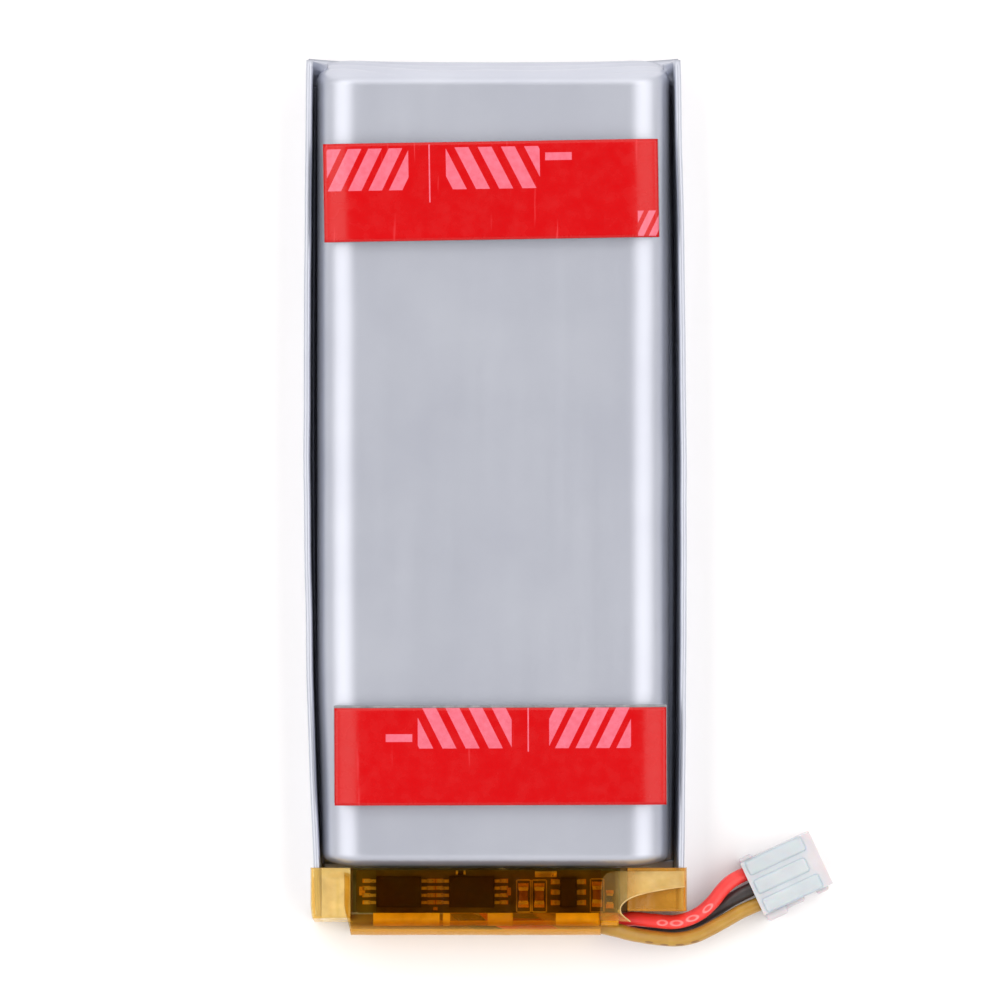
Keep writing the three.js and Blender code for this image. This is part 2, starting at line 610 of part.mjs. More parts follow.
place(cell, "black_lead", lead(BLACK_ROUTE), { color: 0x2a2626, roughness: 0.5, metalness: 0 });
place(cell, "red_lead", lead(RED_ROUTE), { color: 0xf04a44, roughness: 0.4, metalness: 0 });
place(cell, "yellow_lead", lead(YELLOW_ROUTE), { color: 0xdcb04a, roughness: 0.4, metalness: 0 });

const plug = new THREE.Group();
plug.position.set(PLUG_ENTRY[0], PLUG_ENTRY[1], 0);
plug.rotation.z = PLUG_ANGLE;
cell.add(plug);
place(plug, "plug_housing", plugHousing(), { color: 0xe6e6ea, roughness: 0.35, metalness: 0 });
["red_contact", "black_contact", "yellow_contact"].forEach(
  (name, i) => place(plug, name, crimpContact(PLUG_OFFSETS[i]), TINNED));

for (const tape of TAPES) {
  const group = new THREE.Group();
  group.position.set(tape.x, tape.y, CELL_THICKNESS + PLY_GAP);
  group.rotation.z = THREE.MathUtils.degToRad(tape.turn);
  cell.add(group);
  const [w, d] = [tape.width / 2, tape.depth / 2];
  place(group, `${tape.name}_foam_tape`,
    block(-w, w, -d + tape.foamShift, d + tape.foamShift, 0, FOAM), FOAM_GREY);
  place(group, `${tape.name}_release_liner`,
    block(-w, w, -d, d, FOAM + PLY_GAP, FOAM + PLY_GAP + LINER), LINER_RED);
}

export default cell;
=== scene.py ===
# %% [markdown]
# # A pouch battery cell, finished in Blender
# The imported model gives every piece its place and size. This script gives the pieces their looks:
# the soft silver laminate, the clear amber tape over the board, the red film on the mounting
# tapes, the soft leads and the milky plug. It works in metres, so sizes are written in
# millimetres and multiplied by MM once.

# %% Load the frame
import json
import math

import bmesh
import bpy
from mathutils import Matrix, Vector, noise


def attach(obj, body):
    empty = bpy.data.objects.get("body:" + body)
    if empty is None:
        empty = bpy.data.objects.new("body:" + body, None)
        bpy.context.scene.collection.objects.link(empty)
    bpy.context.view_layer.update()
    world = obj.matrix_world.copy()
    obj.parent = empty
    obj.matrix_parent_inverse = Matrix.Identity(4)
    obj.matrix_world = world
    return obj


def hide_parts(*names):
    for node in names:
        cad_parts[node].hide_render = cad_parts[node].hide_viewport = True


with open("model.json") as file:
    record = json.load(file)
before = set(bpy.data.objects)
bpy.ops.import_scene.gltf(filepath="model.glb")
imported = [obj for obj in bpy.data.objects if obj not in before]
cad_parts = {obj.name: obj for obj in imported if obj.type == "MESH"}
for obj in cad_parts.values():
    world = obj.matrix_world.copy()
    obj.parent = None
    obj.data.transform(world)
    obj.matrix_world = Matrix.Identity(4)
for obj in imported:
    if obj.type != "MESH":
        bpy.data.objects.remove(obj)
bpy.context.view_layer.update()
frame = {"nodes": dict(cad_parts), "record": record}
MM = 0.001
scene = bpy.context.scene

# %% [markdown]
# ## The camera
# The cell is seen from straight above, from far enough away that its walls hardly show.
# A long lens does that. The camera's height follows from the width that has to fill the picture.

# %% Camera
VIEW_WIDTH = 90.9 * MM
VIEW_CENTRE = Vector((0.43, -0.46, 5)) * MM
LENS = 400

camera_data = bpy.data.cameras.new("camera")
camera_data.lens = LENS
camera = bpy.data.objects.new("camera", camera_data)
camera.location = VIEW_CENTRE + Vector((0, 0, VIEW_WIDTH * LENS / camera_data.sensor_width))
scene.collection.objects.link(camera)
scene.camera = camera
print("camera height:", round(camera.location.z, 4))

# %% [markdown]
# ## Helpers for finishes
# Every finish starts from the standard shader. Its colour, roughness and bump are then driven by
# noise read in object coordinates, so the detail keeps its real size on every piece.

# %% Finish helpers
def srgb(r, g, b):
    """A colour as read on a screen, turned into the linear values that a shader takes."""
    values = [c / 255 for c in (r, g, b)]
    linear = [c / 12.92 if c <= 0.04045 else ((c + 0.055) / 1.055) ** 2.4 for c in values]
    return (*linear, 1.0)


def feed(tree, value, socket):
    """Links a node's output into a socket, or writes a plain value there."""
    if isinstance(value, bpy.types.NodeSocket):
        tree.links.new(value, socket)
    else:
        socket.default_value = value


class Finish:
    """A material with short ways to add the nodes that a maker asks for."""

    def __init__(self, name, colour, roughness, metallic=0.0, **sockets):
        self.material = bpy.data.materials.new(name)
        self.material.use_nodes = True
        self.tree = self.material.node_tree
        self.shader = self.tree.nodes["Principled BSDF"]
        self.set("Base Color", colour)
        self.set("Roughness", roughness)
        self.set("Metallic", metallic)
        for socket, value in sockets.items():
            self.set(socket.replace("_", " "), value)

    def set(self, socket, value):
        feed(self.tree, value, self.shader.inputs[socket])

    def node(self, kind, **inputs):
        made = self.tree.nodes.new(kind)
        for socket, value in inputs.items():
            feed(self.tree, value, made.inputs[socket.replace("_", " ")])
        return made

    def place(self, location=(0, 0, 0), rotation=(0, 0, 0), scale=(1, 1, 1)):
        at = self.tree.nodes.new("ShaderNodeTexCoord").outputs["Object"]
        mapping = self.node("ShaderNodeMapping", Vector=at, Rotation=rotation, Scale=scale)
        mapping.vector_type = "POINT"
        mapping.inputs["Location"].default_value = location
        return mapping.outputs[0]

    def noise(self, size_mm, stretch=(1, 1, 1), detail=3.0, distortion=0.0):
        """Noise whose blotches are about size_mm across, before the stretch."""
        at = self.place(scale=stretch)
        made = self.node("ShaderNodeTexNoise", Vector=at, Scale=1 / (size_mm * MM), Detail=detail,
                         Distortion=distortion)
        return made.outputs["Fac"]

    def between(self, value, low, high, start=0.3, stop=0.7):
        """A value spread over low to high as it goes from start to stop."""
        made = self.tree.nodes.new("ShaderNodeMapRange")
        self.tree.links.new(value, made.inputs["Value"])
        for socket, number in zip(("From Min", "From Max", "To Min", "To Max"),
                                  (start, stop, low, high)):
            made.inputs[socket].default_value = number
        return made.outputs[0]

    def blend(self, factor, first, second):
        made = self.tree.nodes.new("ShaderNodeMix")
        made.data_type = "RGBA"
        for index, value in ((0, factor), (6, first), (7, second)):
            feed(self.tree, value, made.inputs[index])
        return made.outputs[2]

    def math(self, operation, first, second=0.0):
        made = self.tree.nodes.new("ShaderNodeMath")
        made.operation = operation
        for index, value in enumerate((first, second)):
            feed(self.tree, value, made.inputs[index])
        return made.outputs[0]

    def bump(self, height, depth_mm, strength=1.0):
        made = self.node("ShaderNodeBump", Height=height, Distance=depth_mm * MM, Strength=strength)
        self.set("Normal", made.outputs[0])

    def pale_edge_and_highlight(self, colour, wear_and_highlight, radius_mm=0.3):
        """A pale colour on sharp edges, where the surface turns away from its rounded normal. On the
        laminate it is partly the pale cut edge and partly a painted highlight.
        """
        rounded = self.node("ShaderNodeBevel", Radius=radius_mm * MM).outputs[0]
        flat = self.tree.nodes.new("ShaderNodeNewGeometry").outputs["Normal"]
        dot = self.tree.nodes.new("ShaderNodeVectorMath")
        dot.operation = "DOT_PRODUCT"
        self.tree.links.new(rounded, dot.inputs[0])
        self.tree.links.new(flat, dot.inputs[1])
        amount = self.between(dot.outputs["Value"], 0.8, 0.0, start=0.8, stop=0.99)
        self.set("Base Color", self.blend(amount, colour, wear_and_highlight))
print("finish helpers ready:", Finish.__name__)

# %% [markdown]
# ## Helpers for pieces
# A piece is built as a bmesh, turned into a mesh, given its finishes, and tied to the body that it
# moves with. Its object stays at the origin, so its place is in its mesh.

# %% Piece helpers
def lerp(a, b, t):
    return a + (b - a) * t


def smooth_step(t):
    t = min(max(t, 0.0), 1.0)
    return t * t * (3 - 2 * t)


def piece(name, bm, materials, body="cell", replaces=(), sharp=35):
    mesh = bpy.data.meshes.new(name)
    bm.to_mesh(mesh)
    bm.free()
    for finish in materials:
        mesh.materials.append(finish.material)
    mesh.shade_smooth()
    mesh.set_sharp_from_angle(angle=math.radians(sharp))
    made = bpy.data.objects.new(name, mesh)
    scene.collection.objects.link(made)
    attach(made, body)
    if replaces:
        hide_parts(*replaces)
    return made


def thickened(made, thickness_mm, offset=-1.0):
    wall = made.modifiers.new("wall", "SOLIDIFY")
    wall.thickness = thickness_mm * MM
    wall.offset = offset
    return made


def rounded_block(low, high, radius_mm, segments=2, bm=None):
    """A block between two corners in metres, with all of its edges rounded."""
    bm = bm or bmesh.new()
    low, high = Vector(low), Vector(high)
    size = high - low
    place = Matrix.Translation((low + high) / 2) @ Matrix.Diagonal((*size, 1))
    made = bmesh.ops.create_cube(bm, size=1, matrix=place)
    edges = list({edge for vert in made["verts"] for edge in vert.link_edges})
    bmesh.ops.bevel(bm, geom=edges, offset=radius_mm * MM, segments=segments, profile=0.5,
                    affect="EDGES", clamp_overlap=True, material=-1)
    return bm


def shaped_sheet(columns, rows, shape):
    """A grid over 0 to 1 both ways, each of whose points is put where shape(u, v) says, in mm."""
    bm = bmesh.new()
    bmesh.ops.create_grid(bm, x_segments=columns, y_segments=rows, size=0.5)
    for vert in bm.verts:
        vert.co = Vector(shape(vert.co.x + 0.5, vert.co.y + 0.5)) * MM
    return bm


def ripple(x, y, size_mm, seed=0.0):
    """A gentle unevenness from -1 to 1, whose waves are about size_mm long."""
    return noise.noise(Vector((x / size_mm, y / size_mm, seed)))


# %% [markdown]
# ## The leads
# Three soft leads run from the board, along its outer edge and out of the tape to the plug. The
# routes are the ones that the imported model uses, so the tubes lie where its solids are. A curve
# with a round bevel is the plain way to draw a wire of even thickness. Each lead's pale or dark
# marks are generic ink marks, placed on its upper side.

# %% Lead finishes
LEAD_DIAMETER = 1.3
MARK_DEPTH = 10  # how far an ink mark's oval reaches up and down, well past the lead


def lead_finish(name, colour, dark, roughness=0.38):
    made = Finish(name, colour, roughness, Subsurface_Weight=0.12, Coat_Weight=0.15)
    made.set("Subsurface Scale", 0.6 * MM)
    shade = made.blend(made.between(made.noise(1.1, detail=4.0), 0.0, 0.45), colour, dark)
    made.set("Base Color", shade)
    made.set("Roughness", made.between(made.noise(0.5), roughness - 0.08, roughness + 0.14))
    made.bump(made.noise(0.22, detail=5.0), 0.012)
    return made, shade


def marked(made, shade, ink, marks, ring):
    """Oval marks at (x, y, turn) places in mm, as rings or as filled dashes."""
    for x, y, turn, length, width in marks:
        shift = made.node("ShaderNodeMapping", Vector=made.place(), Location=(x * MM, y * MM, 0),
                          Rotation=(0, 0, math.radians(turn)),
                          Scale=(length * MM, width * MM, MARK_DEPTH * MM))
        shift.vector_type = "TEXTURE"
        ball = made.node("ShaderNodeTexGradient", Vector=shift.outputs[0])
        ball.gradient_type = "SPHERICAL"
        inside = ball.outputs["Fac"]
        amount = made.between(inside, 0.0, 0.75, start=0.02, stop=0.16)
        if ring:
            hollow = made.between(inside, 1.0, 0.0, start=0.32, stop=0.5)
            amount = made.math("MULTIPLY", amount, hollow)
        shade = made.blend(amount, shade, ink)
    made.set("Base Color", shade)


RED, red_shade = lead_finish("red_insulation", srgb(250, 64, 60), srgb(228, 36, 34))
marked(RED, red_shade, srgb(255, 150, 150),
       [(15.2, -38.95, 0, 0.62, 0.34), (16.5, -38.98, 2, 0.74, 0.34), (17.95, -38.55, 16, 0.74, 0.34),
        (19.35, -37.65, 40, 0.7, 0.32)], ring=True)
YELLOW, yellow_shade = lead_finish("yellow_insulation", srgb(184, 142, 52), srgb(158, 110, 30))
marked(YELLOW, yellow_shade, srgb(120, 78, 18),
       [(14.0, -40.72, -8, 0.45, 0.12), (15.4, -40.98, -4, 0.45, 0.12), (16.8, -40.98, 3, 0.45, 0.12),
        (18.2, -40.7, 12, 0.45, 0.12)], ring=False)
BLACK, _ = lead_finish("black_insulation", srgb(58, 52, 52), srgb(30, 26, 26), roughness=0.45)

print("lead finishes:", [finish.material.name for finish in (RED, YELLOW, BLACK)])

# %% [markdown]
# ### Their routes
# Each route is a row of points in millimetres, from the solder joint on the board to the crimp in
# the plug. A smooth curve through the points gives the lead its easy bends. The same curve is
# measured, so that the stated length is the one that was drawn.

# %% Lead routes and curves
BLACK_ROUTE = [
    (-4.5, -35.5, 3.4), (-4.3, -36.8, 3.2), (-3.4, -38.0, 2.6), (-1.9, -38.9, 1.8), (0.2, -39.2, 1.15),
    (3, -39.2, 0.9), (6, -39.2, 0.9), (9, -39.2, 0.9), (12, -39.3, 0.85), (14.4, -39.5, 0.8),
    (16.6, -39.5, 0.8), (18.5, -38.9, 0.85), (20.2, -37.8, 1.1), (21.8, -36.75, 1.5),
    (23.4, -35.93, 1.7), (25.39, -35, 1.7),
]
RED_ROUTE = [
    (-1.8, -35.5, 3.4), (-1.6, -36.8, 3.3), (-0.7, -38.0, 3.1), (0.8, -38.9, 2.7), (2.8, -39.2, 2.4),
    (5, -39.2, 2.35), (7.5, -39.2, 2.35), (9.8, -39.1, 2.4), (11.2, -38.8, 2.6), (12.4, -38.62, 2.8),
    (14.2, -38.75, 2.95), (16.1, -38.9, 2.9), (17.5, -38.65, 2.75), (18.8, -38, 2.55),
    (19.85, -37.05, 2.35), (20.6, -36.1, 2.15), (21.5, -35.25, 1.95), (22.77, -34.57, 1.7),
    (24.76, -33.64, 1.7),
]
YELLOW_ROUTE = [
    (0.6, -35.3, 3.3), (1.7, -36.1, 3.3), (3.4, -37.3, 3.35), (4.9, -38.3, 3.5), (6.2, -38.95, 3.75),
    (7.6, -39.2, 3.95), (9.3, -39.25, 3.95), (11, -39.6, 3.75), (12.3, -39.95, 3.4),
    (13.6, -40.2, 3.05), (15, -40.4, 2.75), (16.4, -40.5, 2.5), (17.6, -40.35, 2.35),
    (18.8, -39.95, 2.2), (20.9, -38.85, 1.95), (22.4, -38, 1.8), (24.03, -37.29, 1.7),
    (26.02, -36.36, 1.7),
]


def smooth_route(points, steps=8):
    """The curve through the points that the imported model's tubes also follow, in metres."""
    points = [Vector(p) * MM for p in points]
    ends = [2 * points[0] - points[1], *points, 2 * points[-1] - points[-2]]
    line = []
    for a, b, c, d in zip(ends, ends[1:], ends[2:], ends[3:]):
        for i in range(steps):
            t = i / steps
            line.append(0.5 * (2 * b + (c - a) * t + (2 * a - 5 * b + 4 * c - d) * t * t
                               + (3 * b - a - 3 * c + d) * t ** 3))
    return [*line, points[-1]]


def tube(name, line, radius_mm, resolution, finish):
    """A round tube along a line of points in metres."""
    data = bpy.data.curves.new(name, "CURVE")
    data.dimensions = "3D"
    data.bevel_depth = radius_mm * MM
    data.bevel_resolution = resolution
    data.use_fill_caps = True
    spline = data.splines.new("POLY")
    spline.points.add(len(line) - 1)
    for point, at in zip(spline.points, line):
        point.co = (*at, 1)
    spline.use_smooth = True
    data.materials.append(finish.material)
    made = bpy.data.objects.new(name, data)
    scene.collection.objects.link(made)
    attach(made, "cell")
    return made


def lead(name, route, finish):
    line = smooth_route(route)
    made = tube(name + "_tube", line, LEAD_DIAMETER / 2, 5, finish)
    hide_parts(name)
    length = sum((b - a).length for a, b in zip(line, line[1:]))
    print(name, "is", round(length / MM, 1), "mm long")
    return made, length


LEADS = {
    "black_lead": lead("black_lead", BLACK_ROUTE, BLACK),
    "red_lead": lead("red_lead", RED_ROUTE, RED),
    "yellow_lead": lead("yellow_lead", YELLOW_ROUTE, YELLOW),
}

# %% [markdown]
# ## The laminate
# The pouch is aluminium foil between nylon and polypropylene. Its face is a soft, slightly blue
# silver with a satin sheen. Forming leaves faint lines along the cell, and handling leaves faint
# clouding, so the roughness and bump carry long streaks with a little fine grain.

# %% Laminate finish
LAMINATE = Finish("laminate", srgb(194, 198, 210), 0.43, metallic=0.85)
cloud = LAMINATE.noise(9, detail=4.0)
streak = LAMINATE.noise(1.4, stretch=(1, 0.06, 1), detail=5.0)
# The sharp edges get a near-white colour: partly the laminate's pale cut edge, partly a painted highlight.
LAMINATE.pale_edge_and_highlight(LAMINATE.blend(LAMINATE.between(cloud, 0.0, 1.0), srgb(191, 195, 207),
                                  srgb(198, 202, 213)), srgb(232, 232, 237), radius_mm=0.12)
LAMINATE.set("Roughness", LAMINATE.between(streak, 0.435, 0.455))
fine_grain = LAMINATE.noise(0.35, detail=6.0)
LAMINATE.bump(LAMINATE.math("ADD", fine_grain, LAMINATE.math("MULTIPLY", streak, 0.4)), 0.003)
print("laminate nodes:", len(LAMINATE.tree.nodes))

# %% [markdown]
# ## The formed cup
# The cup is drawn from flat laminate, so every edge is rounded: wide along the sides, where it
# follows the wound roll, and tighter at the ends. A finely divided cube is the start. Each of its
# points is pushed out from an inner box by the radius of its side, which rounds edges and corners
# together. The far wall then leans out to the fold, and creases fan out from its two corners.

# %% Cup shape
CUP_X = (-16.2, 15.8)
CUP_Y = (-33.8, 38.3)
CUP_TOP = 8.0
SIDE_ROUND = 3.7
TERMINAL_ROUND = 1.1
FAR_ROUND = 0.85
CREASE_DEPTH = 0.2
CUP_LOW = 0.17  # the cup's rim lies just above the back sheet
CUP_CUTS = 71
FOLD_HALF = 17
LEFT_NARROWING = 0.5
FAR_LEAN_FROM = 36.5


def fold_reach(x):
    """How far the fold at the far end lies beyond the top of its wall: more at its corners."""
    return 1.2 + 0.45 * math.exp(-(FOLD_HALF - abs(x)) / 4.0)


def crowded(t):
    """Points of a divided edge drawn towards its two ends."""
    side = 1 if t > 0 else -1
    return side * (1 - (1 - abs(t)) ** 1.7)


def cup_point(u, v, w):
    """Where a point of the divided cube, from -1 to 1 each way, lies on the cup, in mm."""
    x = lerp(*CUP_X, (crowded(u) + 1) / 2)
    y = lerp(*CUP_Y, (crowded(v) + 1) / 2)
    z = lerp(CUP_LOW, CUP_TOP, (w + 1) / 2)
    end_round = FAR_ROUND if y > 0 else TERMINAL_ROUND
    radii = Vector((SIDE_ROUND, end_round, SIDE_ROUND))
    inner = Vector((min(max(x, CUP_X[0] + radii.x), CUP_X[1] - radii.x),
                    min(max(y, CUP_Y[0] + radii.y), CUP_Y[1] - radii.y),
                    min(z, CUP_TOP - radii.z)))
    away = Vector((x, y, z)) - inner
    scaled = Vector(a / r for a, r in zip(away, radii))
    if scaled.length > 1e-6:
        scaled.normalize()
    return inner + Vector(a * r for a, r in zip(scaled, radii))


def pressed(p):
    """The unevenness of a real pouch: a soft crown, faint dents, and a narrower left end."""
    x, y, z = p
    middle = (CUP_X[0] + CUP_X[1]) / 2
    height = (z - CUP_LOW) / (CUP_TOP - CUP_LOW)
    near = smooth_step((-12 - y) / 24)
    x += LEFT_NARROWING * near * smooth_step((middle - x) / 16)
    z += 0.05 * height * ripple(x, y, 11, 2.0) + 0.025 * height * ripple(x, y, 4.5, 7.0)
    x += 0.07 * (1 - height) * ripple(y, z, 9, 3.0)
    lean = smooth_step((y - FAR_LEAN_FROM) / 1.8)
    drop = 1 - height
    y += lean * fold_reach(x - middle) * drop ** 0.9
    fan = 3.0 * drop - 1.5 * math.exp(-(16 - abs(x - middle)) / 4.5) + 0.6 * ripple(x, 0, 9, 5.0)
    open_wall = smooth_step(drop * 5) * smooth_step((1 - drop) * 8)
    strength = 0.6 + 0.8 * abs(ripple(x, z, 7, 13.0))
    y += lean * CREASE_DEPTH * strength * (abs(math.sin(math.pi * fan)) - 0.6) * open_wall
    return Vector((x, y, z)) * MM


bm = bmesh.new()
bmesh.ops.create_cube(bm, size=2)
bmesh.ops.subdivide_edges(bm, edges=bm.edges, cuts=CUP_CUTS, use_grid_fill=True)
under = [face for face in bm.faces if face.calc_center_median().z < -0.999]
bmesh.ops.delete(bm, geom=under, context="FACES")
for vert in bm.verts:
    vert.co = pressed(cup_point(*vert.co))
bmesh.ops.recalc_face_normals(bm, faces=bm.faces)
cup = piece("pouch_shell", bm, [LAMINATE], replaces=["pouch_cup"], sharp=80)
thickened(cup, 0.15)
print("cup faces:", len(cup.data.polygons))

# %% [markdown]
# ## The back sheet and the side seams
# The back is one flat sheet, lifted a little under the terminals, where tape laps under it. Along
# both sides the heat-sealed seam is folded up and doubled back on itself. Each seam is one strip
# bent over a small radius, so its top is a smooth ridge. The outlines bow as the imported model's do.

# %% Back sheet and seams
HALF_WIDTH = 17.45
TAPE_LIFT = 0.12  # room below the terrace for the tape that laps under it
SEAMS = {
    "left": {"sign": -1, "bulge": 5.0, "far": 0.25, "near": 1.2, "start": -38.3, "lean": 0.12},
    "right": {"sign": 1, "bulge": -5.0, "far": 0.6, "near": 0.35, "start": -37.7, "lean": 0.32},
}


def seam_x(seam, y, inset=0.0):
    above = y > seam["bulge"]
    run = (y - seam["bulge"]) / ((40 if above else -40) - seam["bulge"])
    return seam["sign"] * (HALF_WIDTH - inset - (seam["far"] if above else seam["near"]) * run * run)


def trimmed(x, y):
    """The laminate's terminal edge is cut a little shorter on the right, below the leads."""
    return y + 0.6 * smooth_step((x - 11.5) / 1.5) * smooth_step((-30 - y) / 8)


def back_point(u, v):
    y = lerp(-38.3, 38.2 + fold_reach(lerp(-FOLD_HALF, FOLD_HALF, u)), v)
    x = lerp(seam_x(SEAMS["left"], y, 0.15), seam_x(SEAMS["right"], y, 0.15), u)
    y = trimmed(x, y)
    lift = TAPE_LIFT * smooth_step((-34.0 - y) / 0.8)
    return x, y, 0.01 + lift


back = piece("pouch_back", shaped_sheet(48, 96, back_point), [LAMINATE],
             replaces=["pouch_back_sheet"])
thickened(back, 0.14, offset=1.0)

FOLD_TOP = 6.2
BEND = 0.22
OUTER_SHARE = 0.42  # of the strip's width, up to the bend
BEND_SHARE = 0.62  # up to the end of the bend


def seam_point(seam, u, v):
    """v runs along the seam. u goes up the outer ply, over the bend and down the inner ply."""
    y = lerp(seam["start"] + 0.05, 39.5, v)
    wall = FOLD_TOP - 0.1 - BEND
    across, z = 0.0, 0.0
    if u < OUTER_SHARE:
        z = lerp(0.16, wall, u / OUTER_SHARE)
    elif u < BEND_SHARE:
        angle = math.pi * (u - OUTER_SHARE) / (BEND_SHARE - OUTER_SHARE)
        across, z = BEND * (1 - math.cos(angle)), wall + BEND * math.sin(angle)
    else:
        across, z = 2 * BEND, lerp(wall, 1.2, (u - BEND_SHARE) / (1 - BEND_SHARE))
    height = z / FOLD_TOP
    lean = seam["lean"] * height + 0.07 * height * ripple(y, 0, 7, seam["sign"] * 3.0)
    z += 0.06 * height * ripple(y, 0, 5, seam["sign"] * 9.0)
    return seam_x(seam, y, 0.12 + seam["lean"] + across - lean), y, z


for side, seam in SEAMS.items():
    fold = piece(side + "_seam_fold", shaped_sheet(40, 120, lambda u, v: seam_point(seam, u, v)),
                 [LAMINATE], sharp=80)
    thickened(fold, 0.16, offset=0.0)
print("seams folded:", sorted(SEAMS))

# %% [markdown]
# ## Finishes for the hidden and small parts
# The wound roll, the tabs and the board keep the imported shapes. Each still gets a finish with its
# own grain, because the model can be taken apart.

# %% Small finishes
def grained(name, colour, dark, roughness, metallic=0.0, grain_mm=0.5, depth_mm=0.01, **sockets):
    made = Finish(name, colour, roughness, metallic, **sockets)
    shade = made.blend(made.between(made.noise(grain_mm * 3, detail=4.0), 0.0, 1.0), colour, dark)
    made.set("Base Color", shade)
    made.set("Roughness", made.between(made.noise(grain_mm), roughness - 0.06, roughness + 0.12))
    made.bump(made.noise(grain_mm * 0.5, detail=5.0), depth_mm)
    return made


FINISHES = {
    "anode_foil": grained("graphite", srgb(66, 58, 54), srgb(120, 70, 42), 0.55, 0.3),
    "cathode_foil": grained("oxide", srgb(74, 76, 80), srgb(52, 52, 56), 0.5, 0.3),
    "separator_film": grained("separator", srgb(242, 242, 238), srgb(225, 226, 224), 0.7),
    "roll_tape": grained("green_tape", srgb(58, 127, 90), srgb(40, 100, 70), 0.35),
    "aluminium_tab": grained("aluminium", srgb(210, 213, 218), srgb(180, 184, 190), 0.34, 0.9),
    "nickel": grained("nickel", srgb(206, 200, 186), srgb(176, 168, 150), 0.32, 0.9),
    "tab_seal": grained("seal_film", srgb(232, 226, 200), srgb(212, 202, 170), 0.45),
    "board_laminate": grained("solder_mask", srgb(104, 104, 52), srgb(84, 86, 42), 0.34, 0.0, 0.4,
                              0.006, Coat_Weight=0.4),
    "chip_moulding": grained("moulding", srgb(40, 34, 32), srgb(24, 20, 19), 0.5, 0.0, 0.12, 0.008),
    "ceramic_chip": grained("ceramic", srgb(176, 132, 88), srgb(140, 98, 62), 0.42, 0.0, 0.2, 0.006),
    "resistor_chip": grained("resistor", srgb(44, 40, 40), srgb(28, 24, 24), 0.3, 0.0, 0.2, 0.004),
    "solder": grained("solder", srgb(214, 214, 212), srgb(180, 180, 178), 0.26, 0.9, 0.3, 0.008),
    "insulator_paper": grained("insulator", srgb(160, 182, 164), srgb(136, 160, 142), 0.8),
    "tinned_contact": grained("tin", srgb(208, 208, 206), srgb(172, 172, 170), 0.28, 0.9, 0.3, 0.006),
}
for row in frame["record"]["subparts"]:
    if row["material_slot"] in FINISHES:
        mesh = frame["nodes"][row["node"]].data
        mesh.materials.clear()
        mesh.materials.append(FINISHES[row["material_slot"]].material)
print("finishes for kept nodes:", len(FINISHES))

# %% [markdown]
# ## The sealed margins
# Where the pouch isn't filled, two laminates lie flat on each other. At the terminal end this
# makes the terrace, which swells a little over the film on each tab. Narrow margins run between
# the cup and the side seams. Each margin is a thin sheet with its real thickness.

# %% Margins
TABS = {"positive_tab": (-8.1, 3.5), "negative_tab": (8.4, 2.5)}  # middle and half width
TAB_SWELL = 0.28
TERRACE_LOW = 0.33
MARGIN_LOW = 0.22
GUSSET_FOOT = 15.3
GUSSET_TOP = 16.75
GUSSET_HOLLOW = 0.5


def terrace_point(u, v):
    y = lerp(-38.25, -33.6, v)
    x = lerp(seam_x(SEAMS["left"], y, 0.75), seam_x(SEAMS["right"], y, 0.75), u)
    y = trimmed(x, y)
    swell = sum(TAB_SWELL * smooth_step((half + 0.5 - abs(x - at)) / 0.6) for at, half in TABS.values())
    return x, y, TERRACE_LOW + swell * 0.6 + 0.04 * ripple(x, y, 2.2, 4.0)


terrace = piece("terrace_ply", shaped_sheet(90, 24, terrace_point), [LAMINATE])
thickened(terrace, 0.15, offset=1.0)
for side, seam in SEAMS.items():
    def margin_point(u, v, seam=seam):
        y = lerp(-33.9, 39.2, v)
        return lerp(seam["sign"] * 15.2, seam_x(seam, y, 0.9), u), y, MARGIN_LOW
    margin = piece(side + "_seal_margin", shaped_sheet(3, 90, margin_point), [LAMINATE])
    thickened(margin, 0.14, offset=1.0)
    foot, top = seam["sign"] * GUSSET_FOOT, seam["sign"] * GUSSET_TOP
    corners = [Vector(p) for p in ((top, 37.2, 3.0), (foot, 37.2, 4.0), (top, 39.5, 5.6),
                                   (foot, 39.2, 3.4))]

    def gusset_point(u, v, corners=corners):
        near = corners[0].lerp(corners[1], u)
        at = near.lerp(corners[2].lerp(corners[3], u), v)
        at.z -= GUSSET_HOLLOW * math.sin(math.pi * u) * (1 - v)
        return at
    gusset = piece(side + "_corner_gusset", shaped_sheet(12, 12, gusset_point), [LAMINATE])
    thickened(gusset, 0.12, offset=0.0)
print("margins and gussets:", 2 * len(SEAMS) + 1)

# %% [markdown]
# ## The mounting tapes
# Two strips of grey acrylic foam hold the cell in its product. Each still has its red release
# film. The foam is soft, so its ends droop over the cell's rounded shoulders. A finely divided
# sheet follows that droop, and a wall thickness makes it foam or film.

# %% Foam and release film
FOAM = grained("foam", srgb(150, 152, 156), srgb(120, 122, 128), 0.85, 0.0, 0.25, 0.05)
TAPES = {
    "upper": {"x": -0.38, "y": 27.56, "width": 30.3, "depth": 8.9, "turn": 0.93, "foam_shift": 0.0,
              "print": (-5.55, 0.16, 0.0)},
    "lower": {"x": 0.47, "y": -23.68, "width": 30.05, "depth": 8.83, "turn": 0.17,
              "foam_shift": 0.22, "print": (2.52, 4.54, 180.0)},
}
FOAM_LOW = 8.02
LINER_LOW = 9.04
DROOP = 0.42
DROOP_RUN = 3.4
FOAM_THICKNESS = 1.0
FILM_THICKNESS = 0.1


def tape_point(tape, u, v, z, shift=0.0):
    reach = (u - 0.5) * tape["width"]
    across = (v - 0.5) * tape["depth"] + shift
    turn = math.radians(tape["turn"])
    x = tape["x"] + reach * math.cos(turn) - across * math.sin(turn)
    y = tape["y"] + reach * math.sin(turn) + across * math.cos(turn)
    end = smooth_step((abs(reach) - tape["width"] / 2 + DROOP_RUN) / DROOP_RUN)
    return x, y, z - DROOP * end * end + 0.015 * ripple(x, y, 5, 6.0)


